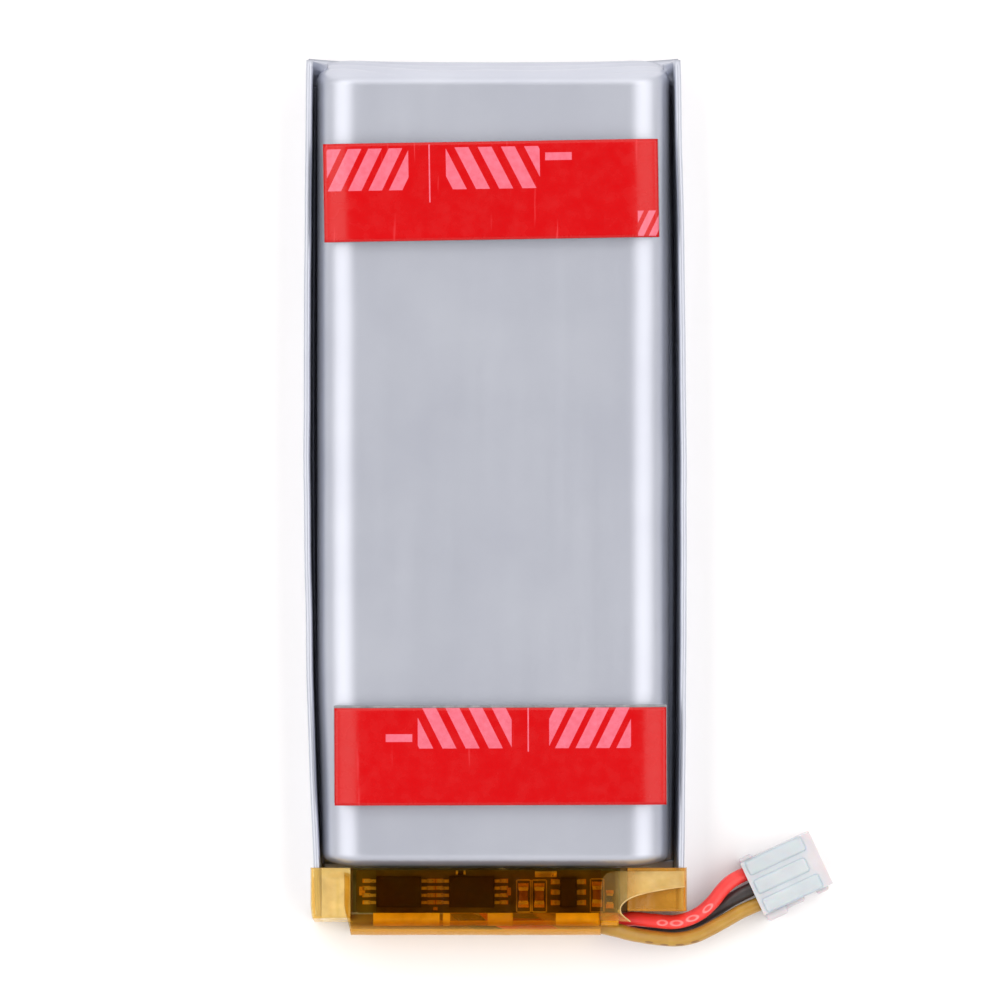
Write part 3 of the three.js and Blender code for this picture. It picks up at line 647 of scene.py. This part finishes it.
def printed(name, tape):
    """Red film with generic pale print: two blocks of slanted bars, a divider and small marks."""
    made = Finish(name, srgb(196, 1, 5), 0.24, Coat_Weight=0.08, Coat_Roughness=0.12,
                  Specular_IOR_Level=0.35)
    shade = made.blend(made.between(made.noise(7, detail=2.0), 0.0, 0.5), srgb(199, 1, 5),
                       srgb(191, 1, 4))
    x, y, turn = tape["print"]
    tilt = math.radians(tape["turn"])
    centre = Vector((tape["x"], tape["y"])) + Matrix.Rotation(tilt, 2) @ Vector((x, y))
    at = made.node("ShaderNodeMapping", Vector=made.place(),
                   Location=(centre.x * MM, centre.y * MM, 0),
                   Rotation=(0, 0, tilt + math.radians(turn)), Scale=(MM, MM, MM))
    at.vector_type = "TEXTURE"
    parts = made.node("ShaderNodeSeparateXYZ", Vector=at.outputs[0])

    def within(value, middle, half):
        away = made.math("ABSOLUTE", made.math("SUBTRACT", value, middle))
        return made.math("LESS_THAN", away, half)

    def box(x0, x1, y0, y1):
        return made.math("MULTIPLY", within(parts.outputs["X"], (x0 + x1) / 2, (x1 - x0) / 2),
                         within(parts.outputs["Y"], (y0 + y1) / 2, (y1 - y0) / 2))

    def bars(area, slant, pitch, share):
        leaned = made.math("ADD", parts.outputs["X"], made.math("MULTIPLY", parts.outputs["Y"], slant))
        phase = made.math("FRACT", made.math("DIVIDE", leaned, pitch))
        return made.math("MULTIPLY", area, made.math("LESS_THAN", phase, share))

    marks = [
        bars(box(-9.3, -1.9, 0, 3.8), -0.5, 1.85, 0.66),
        bars(box(1.5, 10.0, 0, 3.8), 0.5, 2.1, 0.6),
        box(-0.06, 0.06, -1.15, 4.1),
        box(10.5, 12.9, 2.5, 3.2),
        bars(box(18.8, 21, -4.5, -2.2), -0.5, 1.1, 0.6),
    ]
    ink = marks[0]
    for mark in marks[1:]:
        ink = made.math("MAXIMUM", ink, mark)
    wear_and_highlight = made.math("MULTIPLY", ink, made.between(made.noise(0.5, detail=5.0), 0.72, 0.95))
    shade = made.blend(wear_and_highlight, shade, srgb(226, 116, 136))
    scratch = made.node("ShaderNodeTexNoise", Vector=made.place(rotation=(0, 0, 0.5), scale=(1, 0.05, 1)),
                        Scale=2600.0, Detail=2.0).outputs["Fac"]
    shade = made.blend(made.between(scratch, 0.0, 0.35, start=0.7, stop=0.78), shade, srgb(240, 90, 96))
    made.set("Base Color", shade)
    made.set("Roughness", made.between(made.noise(1.2, detail=4.0), 0.18, 0.34))
    made.bump(made.noise(2.5, detail=4.0), 0.03)
    return made


for name, tape in TAPES.items():
    foam = piece(name + "_foam", shaped_sheet(90, 24, lambda u, v: tape_point(
        tape, u, v, FOAM_LOW, tape["foam_shift"])), [FOAM], replaces=[name + "_foam_tape"])
    thickened(foam, FOAM_THICKNESS, offset=1.0)
    rounded = foam.modifiers.new("edges", "BEVEL")
    rounded.width, rounded.segments, rounded.limit_method = 0.05 * MM, 2, "ANGLE"
    film = piece(name + "_release_film", shaped_sheet(90, 24, lambda u, v: tape_point(
        tape, u, v, LINER_LOW)), [printed(name + "_red_film", tape)],
        body=name + "_liner", replaces=[name + "_release_liner"])
    thickened(film, FILM_THICKNESS, offset=1.0)
print("mounting tapes:", list(TAPES))

# %% [markdown]
# ## The protection board
# The board carries two switch chips, a six-lead protection chip and small two-ended parts. Gold
# pads and pale printed frames lie on its solder mask. A pad is a block that is thin and has soft
# corners. Each chip is a bevelled moulding whose leads are flat strips with a knee.

# %% Pads and printed frames
BOARD_TOP = 5.0
PAD_HEIGHT = 0.018
PRINT_HEIGHT = 0.012
PRINT_LINE = 0.11
CHIPS = {
    "left_switch_chip": {"x": -8.77, "y": -36.05, "body": (4.2, 2.9, 1.05), "span": 6.3, "pitch": 0.65,
                         "leads": 4, "lead": 0.28},
    "right_switch_chip": {"x": -2.13, "y": -36.05, "body": (4.2, 2.9, 1.05), "span": 6.3, "pitch": 0.65,
                          "leads": 4, "lead": 0.28},
    "protection_chip": {"x": 6.65, "y": -36.1, "body": (1.6, 2.8, 1.05), "span": 2.9, "pitch": 0.95,
                        "leads": 3, "lead": 0.38},
}
PAD = grained("gold_pad", srgb(252, 210, 120), srgb(236, 184, 86), 0.3, 0.35, 0.2, 0.004)
TINNED = grained("tinned_lead", srgb(238, 234, 226), srgb(214, 208, 198), 0.3, 0.4, 0.2, 0.004)
PRINT = grained("board_print", srgb(226, 214, 170), srgb(200, 188, 140), 0.7, 0.0, 0.15, 0.004)


def pad(bm, x, y, width, depth, height):
    rounded_block(Vector((x - width / 2, y - depth / 2, BOARD_TOP)) * MM,
                  Vector((x + width / 2, y + depth / 2, BOARD_TOP + height)) * MM, 0.012, 1, bm)


bm = bmesh.new()
for chip in CHIPS.values():
    for side in (-1, 1):
        for i in range(chip["leads"]):
            row = chip["y"] + (i - (chip["leads"] - 1) / 2) * chip["pitch"]
            pad(bm, chip["x"] + side * (chip["span"] / 2 - 0.2), row, 0.7, chip["lead"] + 0.1,
                PAD_HEIGHT)
for x, y, width, depth in ((2.55, -35.55, 0.95, 0.5), (2.55, -37.25, 0.95, 0.5), (4.0, -35.55, 0.95, 0.5),
                           (4.0, -37.25, 0.95, 0.5), (9.26, -35.4, 0.95, 0.5), (9.26, -37.2, 0.95, 0.5),
                           (10.4, -36.1, 0.7, 0.35), (10.4, -37.35, 0.7, 0.45), (-12.1, -36.0, 0.55, 0.8),
                           (-5.45, -37.6, 0.4, 0.3), (1.25, -36.05, 0.35, 0.7)):
    pad(bm, x, y, width, depth, PAD_HEIGHT)
piece("copper_pads", bm, [PAD])

bm = bmesh.new()
for x0, x1, y0, y1 in ((1.95, 3.2, -37.9, -35.0), (3.35, 4.65, -37.9, -35.0), (8.65, 9.87, -37.9, -34.9)):
    middle_x, middle_y = (x0 + x1) / 2, (y0 + y1) / 2
    for x in (x0, x1):
        pad(bm, x, middle_y, PRINT_LINE, y1 - y0, PRINT_HEIGHT)
    for y in (y0, y1):
        pad(bm, middle_x, y, x1 - x0 - PRINT_LINE * 1.1, PRINT_LINE, PRINT_HEIGHT)
piece("board_print", bm, [PRINT])
print("chips to pad:", len(CHIPS), "board top at", BOARD_TOP, "mm")

# %% [markdown]
# ### Chips
# A chip is moulded between two half tools, so its body is widest at mid height, where its leads
# come out. Each lead is cut flat from sheet and bent down to its pad. So the body is a bevelled
# block drawn in at its top and foot, and a lead is a narrow grid that is bent and given thickness.

# %% Chips with leads
STANDOFF = 0.02  # parts rest on solder, just above the board
LEAD_THICKNESS = 0.14


def strip_solid(bm, line, half_width, thickness, across):
    """A flat strip that follows a line, as a bent metal lead does. across is its width direction."""
    steps = len(line) - 1
    verts = bmesh.ops.create_grid(bm, x_segments=steps, y_segments=1, size=0.5)["verts"]
    for vert in verts:
        offset = 2 * vert.co.y * half_width
        vert.co = line[round((vert.co.x + 0.5) * steps)] + across * offset + Vector((0, 0, thickness / 2))
    faces = list({face for vert in verts for face in vert.link_faces})
    bmesh.ops.solidify(bm, geom=faces, thickness=thickness)


for name, chip in CHIPS.items():
    length, depth, height = chip["body"]
    foot = BOARD_TOP + STANDOFF
    middle = Vector((chip["x"], chip["y"], 0))
    half = Vector((length / 2, depth / 2, 0))
    bm = rounded_block((middle - half + Vector((0, 0, foot + 0.08))) * MM,
                       (middle + half + Vector((0, 0, foot + height))) * MM, 0.09, 2)
    for vert in bm.verts:
        draft = 0.07 * abs(vert.co.z / MM - (foot + height * 0.5)) / height
        for axis in (0, 1):
            vert.co[axis] = lerp(vert.co[axis], middle[axis] * MM, draft / half[axis] * 1.2)
    dimple = middle + Vector((-half.x * 0.78, half.y * 0.7, foot + height))
    bmesh.ops.create_cone(bm, cap_ends=True, segments=16, radius1=0.17 * MM, radius2=0.17 * MM,
                          depth=0.01 * MM, matrix=Matrix.Translation(dimple * MM))
    moulded = set(bm.faces)
    across = Vector((0, 1, 0))
    for side in (-1, 1):
        for i in range(chip["leads"]):
            row = chip["y"] + (i - (chip["leads"] - 1) / 2) * chip["pitch"]
            knee = length / 2 + (chip["span"] - length) * 0.2
            profile = [(length / 2 - 0.1, foot + height * 0.5), (knee - 0.05, foot + height * 0.5),
                       (knee + 0.03, foot + height * 0.44), (knee + 0.1, foot + 0.16),
                       (knee + 0.2, foot + 0.08), (chip["span"] / 2, foot + 0.07)]
            line = [Vector((chip["x"] + side * x, row, z)) * MM for x, z in profile]
            strip_solid(bm, line, chip["lead"] / 2 * MM, LEAD_THICKNESS * MM, across * side)
    for face in set(bm.faces) - moulded:
        face.material_index = 1
    bmesh.ops.recalc_face_normals(bm, faces=bm.faces)
    piece(name + "_package", bm, [FINISHES["chip_moulding"], TINNED],
          replaces=[name])
print("chips:", len(CHIPS))

# %% [markdown]
# ### Two-ended parts
# A small capacitor or resistor is a ceramic block with a plated cap at each end. Each cap is a
# slightly larger block over the ceramic one, as plating is. A bare nickel strip joins the board
# to the positive tab.

# %% Two-ended parts
ENDED = {
    "supply_capacitor": (2.55, -36.4, 1.6, 0.8, 0.8, False, "ceramic_chip"),
    "sense_capacitor": (4.0, -36.4, 1.6, 0.8, 0.8, False, "ceramic_chip"),
    "thermistor": (9.26, -36.3, 1.6, 0.8, 0.7, False, "ceramic_chip"),
    "supply_resistor": (10.4, -36.7, 1.0, 0.5, 0.35, False, "resistor_chip"),
    "gate_resistor": (-3.14, -34.32, 0.9, 0.32, 0.3, True, "resistor_chip"),
}
for name, (x, y, length, width, height, along_x, slot) in ENDED.items():
    bm = bmesh.new()
    foot = BOARD_TOP + STANDOFF
    cap = length * 0.22
    for x0, x1, lift in ((-length / 2 + 0.02, length / 2 - 0.02, 0.0), (-length / 2, cap - length / 2, 0.03),
                         (length / 2 - cap, length / 2, 0.03)):
        rounded_block(Vector((x0, -width / 2 - lift, foot + 0.03 - lift)) * MM,
                      Vector((x1, width / 2 + lift, foot + height + lift)) * MM, 0.04, 2, bm)
        if lift == 0.0:
            ceramic = set(bm.faces)
    for face in set(bm.faces) - ceramic:
        face.material_index = 1
    turn = Matrix.Identity(4) if along_x else Matrix.Rotation(math.pi / 2, 4, "Z")
    bmesh.ops.transform(bm, matrix=Matrix.Translation(Vector((x, y, 0)) * MM) @ turn, verts=bm.verts)
    piece(name + "_part", bm, [FINISHES[slot], TINNED], replaces=[name])
strip = rounded_block(Vector((3.6, -34.75, BOARD_TOP + STANDOFF)) * MM,
                      Vector((5.6, -34.2, BOARD_TOP + 0.16)) * MM, 0.03, 2)
piece("sense_strip", strip, [FINISHES["nickel"]])
print("two-ended parts:", len(ENDED))

# %% [markdown]
# ## The amber tape
# Layers of thin amber film insulate the board. One layer looks straw-coloured over silver, and three look
# orange over the same silver. So the film is a see-through layer that tints what is behind it, and the light
# that reaches it. Where it is milky, its pale colour is partly the film's milkiness and partly painted light
# for the silver and floor seen through it. A little gloss lies on top. Its sheets sag between the parts
# below, and their outer edge turns down and back under the terrace.

# %% Amber film finishes
THIN_TINT = (0.995, 0.915, 0.66, 1)  # the share of red, green and blue that one face lets through
THICK_TINT = (0.985, 0.875, 0.56, 1)


def amber_finish(name, haze_and_light, haze_and_light_colour):
    """See-through tinted film. Its milky share is the part of its face that shows the pale body colour: 0 is
    clear. That colour is partly the milkiness of film lifted off what is under it and partly painted light,
    for the bright silver and floor seen through the film.
    """
    made = Finish(name, haze_and_light_colour, 0.14)
    see_through = made.tree.nodes.new("ShaderNodeBsdfTransparent")
    patch = made.between(made.noise(3.0, detail=3.0), 0.0, 1.0)
    made.tree.links.new(made.blend(patch, THIN_TINT, THICK_TINT), see_through.inputs["Color"])
    made.set("Roughness", made.between(made.noise(0.9, detail=4.0), 0.08, 0.24))
    made.bump(made.noise(1.3, detail=4.0), 0.03)
    mix = made.tree.nodes.new("ShaderNodeMixShader")
    gloss = made.math("MULTIPLY", made.node("ShaderNodeFresnel", IOR=1.5).outputs[0], 0.6)
    # The milky share shows the pale colour: partly milky film, partly painted light.
    hazy_and_lit = made.math("MULTIPLY", made.between(made.noise(1.8, detail=3.0), 0.75, 1.2), haze_and_light(made))
    made.tree.links.new(made.math("ADD", gloss, hazy_and_lit), mix.inputs[0])
    made.tree.links.new(see_through.outputs[0], mix.inputs[1])
    made.tree.links.new(made.shader.outputs[0], mix.inputs[2])
    made.tree.links.new(mix.outputs[0], made.tree.nodes["Material Output"].inputs["Surface"])
    return made


# The share of milky, pale colour from each x on, in mm: partly milky film, partly painted light for the
# silver and white floor behind it. Film that touches what is under it stays clear.
EDGE_HAZE_AND_LIGHT = ((-12.0, 0.74), (-5.05, 0.05), (-4.75, 0.72), (-4.1, 0.1), (-0.7, 0.6), (1.6, 0.08),
             (5.5, 0.8), (9.4, 0.2))
LEFT_HAZE_AND_LIGHT = ((-18.0, 0.24), (-15.75, 0.56))
RIGHT_HAZE_AND_LIGHT = ((11.0, 0.34), (16.4, 0.22))
TURNED_HAZE_AND_LIGHT = 0.26


def banded_haze_and_light(bands):
    """Milkiness and painted light that change in steps along the cell's width."""
    def share_of(made):
        x = made.node("ShaderNodeSeparateXYZ", Vector=made.place()).outputs["X"]
        share = bands[0][1]
        for (_, before), (start, haze_and_light) in zip(bands, bands[1:]):
            step = made.between(x, 0.0, haze_and_light - before, start=(start - 0.05) * MM, stop=(start + 0.05) * MM)
            share = made.math("ADD", step, share)
        return share
    return share_of


def rising_haze_and_light(made):
    """Milkiness and painted light that rise from the board, where the film is clear, to the cell's right
    corner.
    """
    x = made.node("ShaderNodeSeparateXYZ", Vector=made.place()).outputs["X"]
    return made.between(x, 0.03, 0.42, start=10.8 * MM, stop=13.4 * MM)


def turned_haze_and_light(made):
    """Milkiness and a straw colour only where the cover turns down at the board's outer edge. The straw
    colour is partly milky film and partly painted light over the shade under the turned-down film.
    """
    y = made.node("ShaderNodeSeparateXYZ", Vector=made.place()).outputs["Y"]
    turned = made.between(y, 0.0, 1.0, start=-38.9 * MM, stop=-39.5 * MM)
    made.set("Base Color", made.blend(turned, srgb(84, 40, 6), srgb(244, 192, 92)))
    return made.math("MULTIPLY", turned, TURNED_HAZE_AND_LIGHT)


# The pale colours given below are partly milky film and partly painted light.
CLEAR_AMBER = amber_finish("amber_film", lambda made: 0.0, srgb(84, 40, 6))
PALE_AMBER = amber_finish("pale_amber_film", banded_haze_and_light(LEFT_HAZE_AND_LIGHT), srgb(250, 216, 130))
DEEP_AMBER = amber_finish("deep_amber_film", banded_haze_and_light(EDGE_HAZE_AND_LIGHT), srgb(255, 190, 22))
WARM_AMBER = amber_finish("warm_amber_film", banded_haze_and_light(RIGHT_HAZE_AND_LIGHT), srgb(236, 170, 60))
FLAP_AMBER = amber_finish("flap_amber_film", rising_haze_and_light, srgb(244, 212, 134))
COVER_AMBER = amber_finish("cover_amber_film", turned_haze_and_light, srgb(84, 40, 6))
print("amber finishes with haze bands:", len(EDGE_HAZE_AND_LIGHT), len(LEFT_HAZE_AND_LIGHT), len(RIGHT_HAZE_AND_LIGHT))

# %% [markdown]
# ### The sheets
# A sheet of film is the same outline all along the cell: flat over the parts, down past the
# board's outer edge, and back under the terrace. So each sheet follows one rounded line, pulled
# along the width. It sinks a little between parts and turns down outside the side seams.

# %% Film shapes
def softened(line, radius, steps=5):
    """A line of (y, z) points whose corners are rounded off by arcs of about that radius."""
    points = [Vector(p) for p in line]
    soft = [points[0]]
    for before, corner, after in zip(points, points[1:], points[2:]):
        start = corner + (before - corner).normalized() * radius
        stop = corner + (after - corner).normalized() * radius
        for i in range(steps + 1):
            t = i / steps
            soft.append(start.lerp(corner, t).lerp(corner.lerp(stop, t), t))
    return [*soft, points[-1]]


def along(line, t):
    """The point at the share t of a line's length."""
    lengths = [(b - a).length for a, b in zip(line, line[1:])]
    left = t * sum(lengths)
    for a, b, length in zip(line, line[1:], lengths):
        if left <= length:
            return a.lerp(b, left / length)
        left -= length
    return line[-1].copy()


def sag(x, y, depth):
    """How far the film sinks where nothing is right under it, in mm."""
    gaps = ((-14.3, 1.1, 1.0), (-5.45, 0.9, 0.35), (1.5, 0.7, 0.3), (12.6, 1.2, 0.8))
    sunk = sum(share * math.exp(-((x - at) / half) ** 2) for at, half, share in gaps)
    return depth * sunk * smooth_step((-34.0 - y) / 0.9)


FILM_SHOULDER = (16.55, 17.12)  # where the film turns down outside the left and right seams
FILM_DROP = 1.6
TAPE_THICKNESS = 0.06


def lapped_film(name, x0, x1, line, columns, rows, depth, skew=0.0, replaces=(), finish=CLEAR_AMBER):
    """Film that follows a line of (y, z) points and spans x0 to x1, with its sag and wrinkles."""
    def point(u, v):
        y, z = along(line, v)
        x = lerp(x0, x1, u) + skew * smooth_step((-37 - y) / 3) * (1 - u)
        high = smooth_step((z - 3.5) / 2)
        over = abs(x) - (FILM_SHOULDER[0] if x < 0 else FILM_SHOULDER[1])
        z -= high * sag(x, y, depth) + high * FILM_DROP * smooth_step(over / 0.4)
        z += high * 0.05 * ripple(x, y, 1.6, 11.0) + high * 0.03 * ripple(x * 2.2, y, 1.0, 5.0)
        y += (1 - high) * 0.03 * ripple(x, z, 1.7, 8.0) * smooth_step((z - 0.3) / 0.5)
        return x, y, z
    made = piece(name, shaped_sheet(columns, rows, point), [finish], replaces=replaces,
                 sharp=180)
    thickened(made, TAPE_THICKNESS, offset=0.0)
    return made


left_line = softened([(-33.85, 6.42), (-38.4, 6.38), (-38.97, 0.3), (-38.6, 0.04), (-34.9, 0.04)], 0.2)
lapped_film("left_wrap_film", -16.75, -13.15, left_line, 26, 70, 0.85, skew=0.35,
            finish=PALE_AMBER)
top_line = softened([(-33.85, 6.24), (-36, 6.24), (-37.85, 6.2)], 0.3)
lapped_film("base_film", -13.15, 12.0, top_line, 110, 24, 0.5, replaces=["base_tape"])
right_line = softened([(-33.85, 6.4), (-37.78, 6.36), (-37.95, 0.3), (-37.5, 0.04), (-34.9, 0.04)], 0.25)
lapped_film("right_wrap_film", 12.0, 17.38, right_line, 40, 60, 0.9, finish=WARM_AMBER)
inner_line = softened([(-34.15, 6.13), (-37, 6.12), (-38.0, 6.05)], 0.4)
lapped_film("inner_film", -10.8, 10.9, inner_line, 110, 30, 0.4)
edge_line = softened([(-37.95, 6.12), (-38.7, 5.95), (-39.15, 5.2), (-39.2, 2.0)], 0.3)
lapped_film("edge_wrap_film", -11.1, 11.2, edge_line, 110, 40, 0.3, finish=DEEP_AMBER)
cover_line = softened([(-34.0, 6.38), (-38.5, 6.3), (-39.65, 5.6), (-40.0, 4.6), (-40.03, 0.3),
                       (-39.6, 0.04), (-34.9, 0.04)], 0.25)
lapped_film("cover_film", -13.7, 9.6, cover_line, 110, 80, 0.55, skew=0.55, replaces=["cover_tape"],
            finish=COVER_AMBER)
print("film sheets made")

# %% [markdown]
# ## The lifted flap
# Near the leads the tape is lifted into a small arch. Its free edge curls up and catches the light as a pale
# rim. The flap is one sheet between the rim, which is a curve, and the line where the film lies on the cell.
# The rim is a fine round bead along the same curve, whose pale colour is a painted highlight.

# %% Flap and rim
RIM = [Vector(p) for p in ((12.25, -38.75, 5.5), (11.45, -38.0, 6.2), (11.45, -37.25, 6.7),
                           (12.3, -36.55, 7.0), (13.7, -36.1, 7.0), (15.6, -35.75, 6.75),
                           (17.2, -35.55, 6.4))]
RIM_LINE = [p / MM for p in smooth_route(RIM, steps=10)]
ROOT_LINE = softened([(9.5, -38.6, 6.42), (9.7, -34.2, 6.44), (17.2, -34.1, 6.36)], 1.2)


FLAP_FOLD = 0.16
FLAP_CROWN = 0.25
FLAP_CURL = 0.12
CURL_SHARE = 0.15


def flap_point(u, v):
    root, rim = along(ROOT_LINE, u), along(RIM_LINE, u)
    at = root.lerp(rim, v)
    fold = FLAP_FOLD * math.sin(u * 30 + v * 2.0) * math.sin(math.pi * v) * (1 - u * 0.6)
    at.z += FLAP_CROWN * math.sin(math.pi * v) + fold * 0.6
    at.z += FLAP_CURL * max(0.0, v - (1 - CURL_SHARE)) / CURL_SHARE
    return at


flap = piece("lifted_flap", shaped_sheet(90, 30, flap_point), [FLAP_AMBER], sharp=180)
thickened(flap, 0.05, offset=0.0)
RIM_RADIUS = 0.06
# The rim's pale straw colour is a painted highlight, for the light that the curled edge catches.
RIM_HIGHLIGHT = grained("film_rim_highlight", srgb(214, 186, 126), srgb(190, 154, 92), 0.3, 0.0, 0.4, 0.01)
rim_line = [(at + Vector((0, 0, FLAP_CURL))) * MM for at in RIM_LINE]
rim = tube("flap_rim", rim_line, RIM_RADIUS, 3, RIM_HIGHLIGHT)
print("flap and rim made")

# %% [markdown]
# ## The plug
# A small moulded housing takes the three crimped leads. Long ribs stiffen it and a block on its
# side guides it into its socket. The body starts as a block cut by planes, so that the three
# cavities at each end can be pushed in. Its outer edges are then rounded, as in a mould.

# %% Plug housing
PLUG_ENTRY = Vector((23.4, -35.93, 0))
PLUG_TURN = math.radians(25)
PLUG_LENGTH = 6.9
PLUG_PITCH = 1.5
PLUG_WIDTH = 5.2
PLUG_HEIGHT = 3.05
MILKY = grained("milky_plastic", srgb(209, 206, 210), srgb(198, 196, 202), 0.36, 0.0, 0.8, 0.012,
                Subsurface_Weight=0.35, Coat_Weight=0.1)
MILKY.set("Subsurface Scale", 1.5 * MM)


def cavity(bm, x, inward, half, low, high, depth):
    """Pushes the three lead cavities into the flat face at x."""
    for offset in (-PLUG_PITCH, 0, PLUG_PITCH):
        for side in (-half, half):
            bmesh.ops.bisect_plane(bm, geom=bm.verts[:] + bm.edges[:] + bm.faces[:],
                                   plane_co=(0, (offset + side) * MM, 0), plane_no=(0, 1, 0))
    for level in (low, high):
        bmesh.ops.bisect_plane(bm, geom=bm.verts[:] + bm.edges[:] + bm.faces[:],
                               plane_co=(0, 0, level * MM), plane_no=(0, 0, 1))
    for offset in (-PLUG_PITCH, 0, PLUG_PITCH):
        found = []
        for face in bm.faces:
            at = face.calc_center_median() / MM
            if abs(at.x - x) < 0.01 and abs(at.y - offset) < half and low < at.z < high:
                found.append(face)
        pushed = bmesh.ops.extrude_face_region(bm, geom=found)
        verts = [item for item in pushed["geom"] if isinstance(item, bmesh.types.BMVert)]
        bmesh.ops.translate(bm, verts=verts, vec=(inward * depth * MM, 0, 0))
        bmesh.ops.delete(bm, geom=found, context="FACES")


bm = bmesh.new()
body_size = Vector((PLUG_LENGTH, PLUG_WIDTH, PLUG_HEIGHT))
body_middle = Vector((PLUG_LENGTH / 2, 0, PLUG_HEIGHT / 2))
bmesh.ops.create_cube(bm, size=1, matrix=Matrix.Translation(body_middle * MM)
                      @ Matrix.Diagonal((*body_size * MM, 1)))
cavity(bm, 0, 1, 0.7, 0.97, 2.4, 2.6)
cavity(bm, PLUG_LENGTH, -1, 0.55, 1.05, 2.15, 3.2)
corners = [edge for edge in bm.edges if edge.calc_face_angle(0) > 0.5]
bmesh.ops.bevel(bm, geom=corners, offset=0.12 * MM, segments=2, profile=0.5, affect="EDGES",
                clamp_overlap=True, material=-1)
# Two side guides, two small steps and three long ribs: low corner, high corner and edge radius.
for low, high, radius in (
        ((0.1, -3.35, 0.0), (2.2, -2.4, 2.7), 0.3), ((0.0, 2.4, 0.0), (1.3, 2.95, 2.7), 0.25),
        ((2.0, -3.0, 0.3), (4.0, -2.4, 2.4), 0.25), ((5.2, -3.0, 0.4), (6.4, -2.4, 2.4), 0.22),
        ((0.3, -2.6, 2.3), (6.1, -1.1, 3.2), 0.34), ((0.3, 1.1, 2.3), (6.1, 2.6, 3.2), 0.34),
        ((0.3, -0.75, 2.3), (5.6, 0.75, 3.22), 0.34)):
    rounded_block(Vector(low) * MM, Vector(high) * MM, radius, 4, bm)
bmesh.ops.transform(bm, matrix=Matrix.Translation(PLUG_ENTRY * MM) @ Matrix.Rotation(PLUG_TURN, 4, "Z"),
                    verts=bm.verts)
bmesh.ops.recalc_face_normals(bm, faces=bm.faces)
plug = piece("plug_shell", bm, [MILKY], replaces=["plug_housing"])
print("plug faces:", len(plug.data.polygons))

# %% [markdown]
# ## The leads' solder joints
# The leads are soft between the board and the plug. Each one's solder joint is the first point of its route;
# the loop only takes up its tube and measured length again. The yellow one is a little shorter than the
# shortest cord that can be declared, so its length is rounded up.

# %% Lead joints
JOINTS = {"black": BLACK_ROUTE[0], "red": RED_ROUTE[0], "yellow": YELLOW_ROUTE[0]}
for colour, joint in JOINTS.items():
    wire, length = LEADS[colour + "_lead"]

# %% [markdown]
# ## Floor and light
# The cell lies on a plain white floor. Four large soft lights stand around it, like the walls of
# a light tent. The ones at left and right draw a bright line on each rounded shoulder, and the
# flat top mirrors the duller air between them. A line of sight crosses many faces of clear film,
# and each counts as a see-through bounce, so more of those are allowed than usual.

# %% Floor and lights
bm = bmesh.new()
bmesh.ops.create_grid(bm, x_segments=1, y_segments=1, size=1.5,
                      matrix=Matrix.Translation((0, 0, -0.02 * MM)))
floor_mesh = bpy.data.meshes.new("floor")
bm.to_mesh(floor_mesh)
bm.free()
FLOOR = Finish("floor", srgb(250, 250, 251), 0.9)
FLOOR.set("Roughness", FLOOR.between(FLOOR.noise(40), 0.85, 0.95))
floor_mesh.materials.append(FLOOR.material)
floor = bpy.data.objects.new("floor", floor_mesh)
scene.collection.objects.link(floor)

LIGHT_DISTANCE = 0.42
LIGHT_SIZE = (0.7, 0.42)
LIGHT_COLOUR = (1.0, 0.955, 0.905)
LIGHTS = {  # heading, lean from upright, and watts
    "left": (-90, 44, 1.72),
    "right": (90, 44, 1.72),
    "far": (0, 60, 1.2),
    "near": (180, 60, 0.68),
}
for side, (heading, lean, watts) in LIGHTS.items():
    light = bpy.data.lights.new(side + "_light", "AREA")
    light.shape = "RECTANGLE"
    light.size, light.size_y = LIGHT_SIZE
    light.energy = watts
    light.color = LIGHT_COLOUR
    lamp = bpy.data.objects.new(side + "_light", light)
    turn = Matrix.Rotation(math.radians(-heading), 4, "Z") @ Matrix.Rotation(math.radians(-lean), 4, "X")
    lamp.matrix_world = turn @ Matrix.Translation((0, 0, LIGHT_DISTANCE))
    scene.collection.objects.link(lamp)

world = bpy.data.worlds.new("studio")
world.use_nodes = True
world.node_tree.nodes["Background"].inputs["Color"].default_value = (0.81, 0.875, 1.0, 1)
world.node_tree.nodes["Background"].inputs["Strength"].default_value = 0.22
scene.world = world
scene.view_settings.view_transform = "Standard"
scene.cycles.transparent_max_bounces = 24
print("lights:", len(LIGHTS))
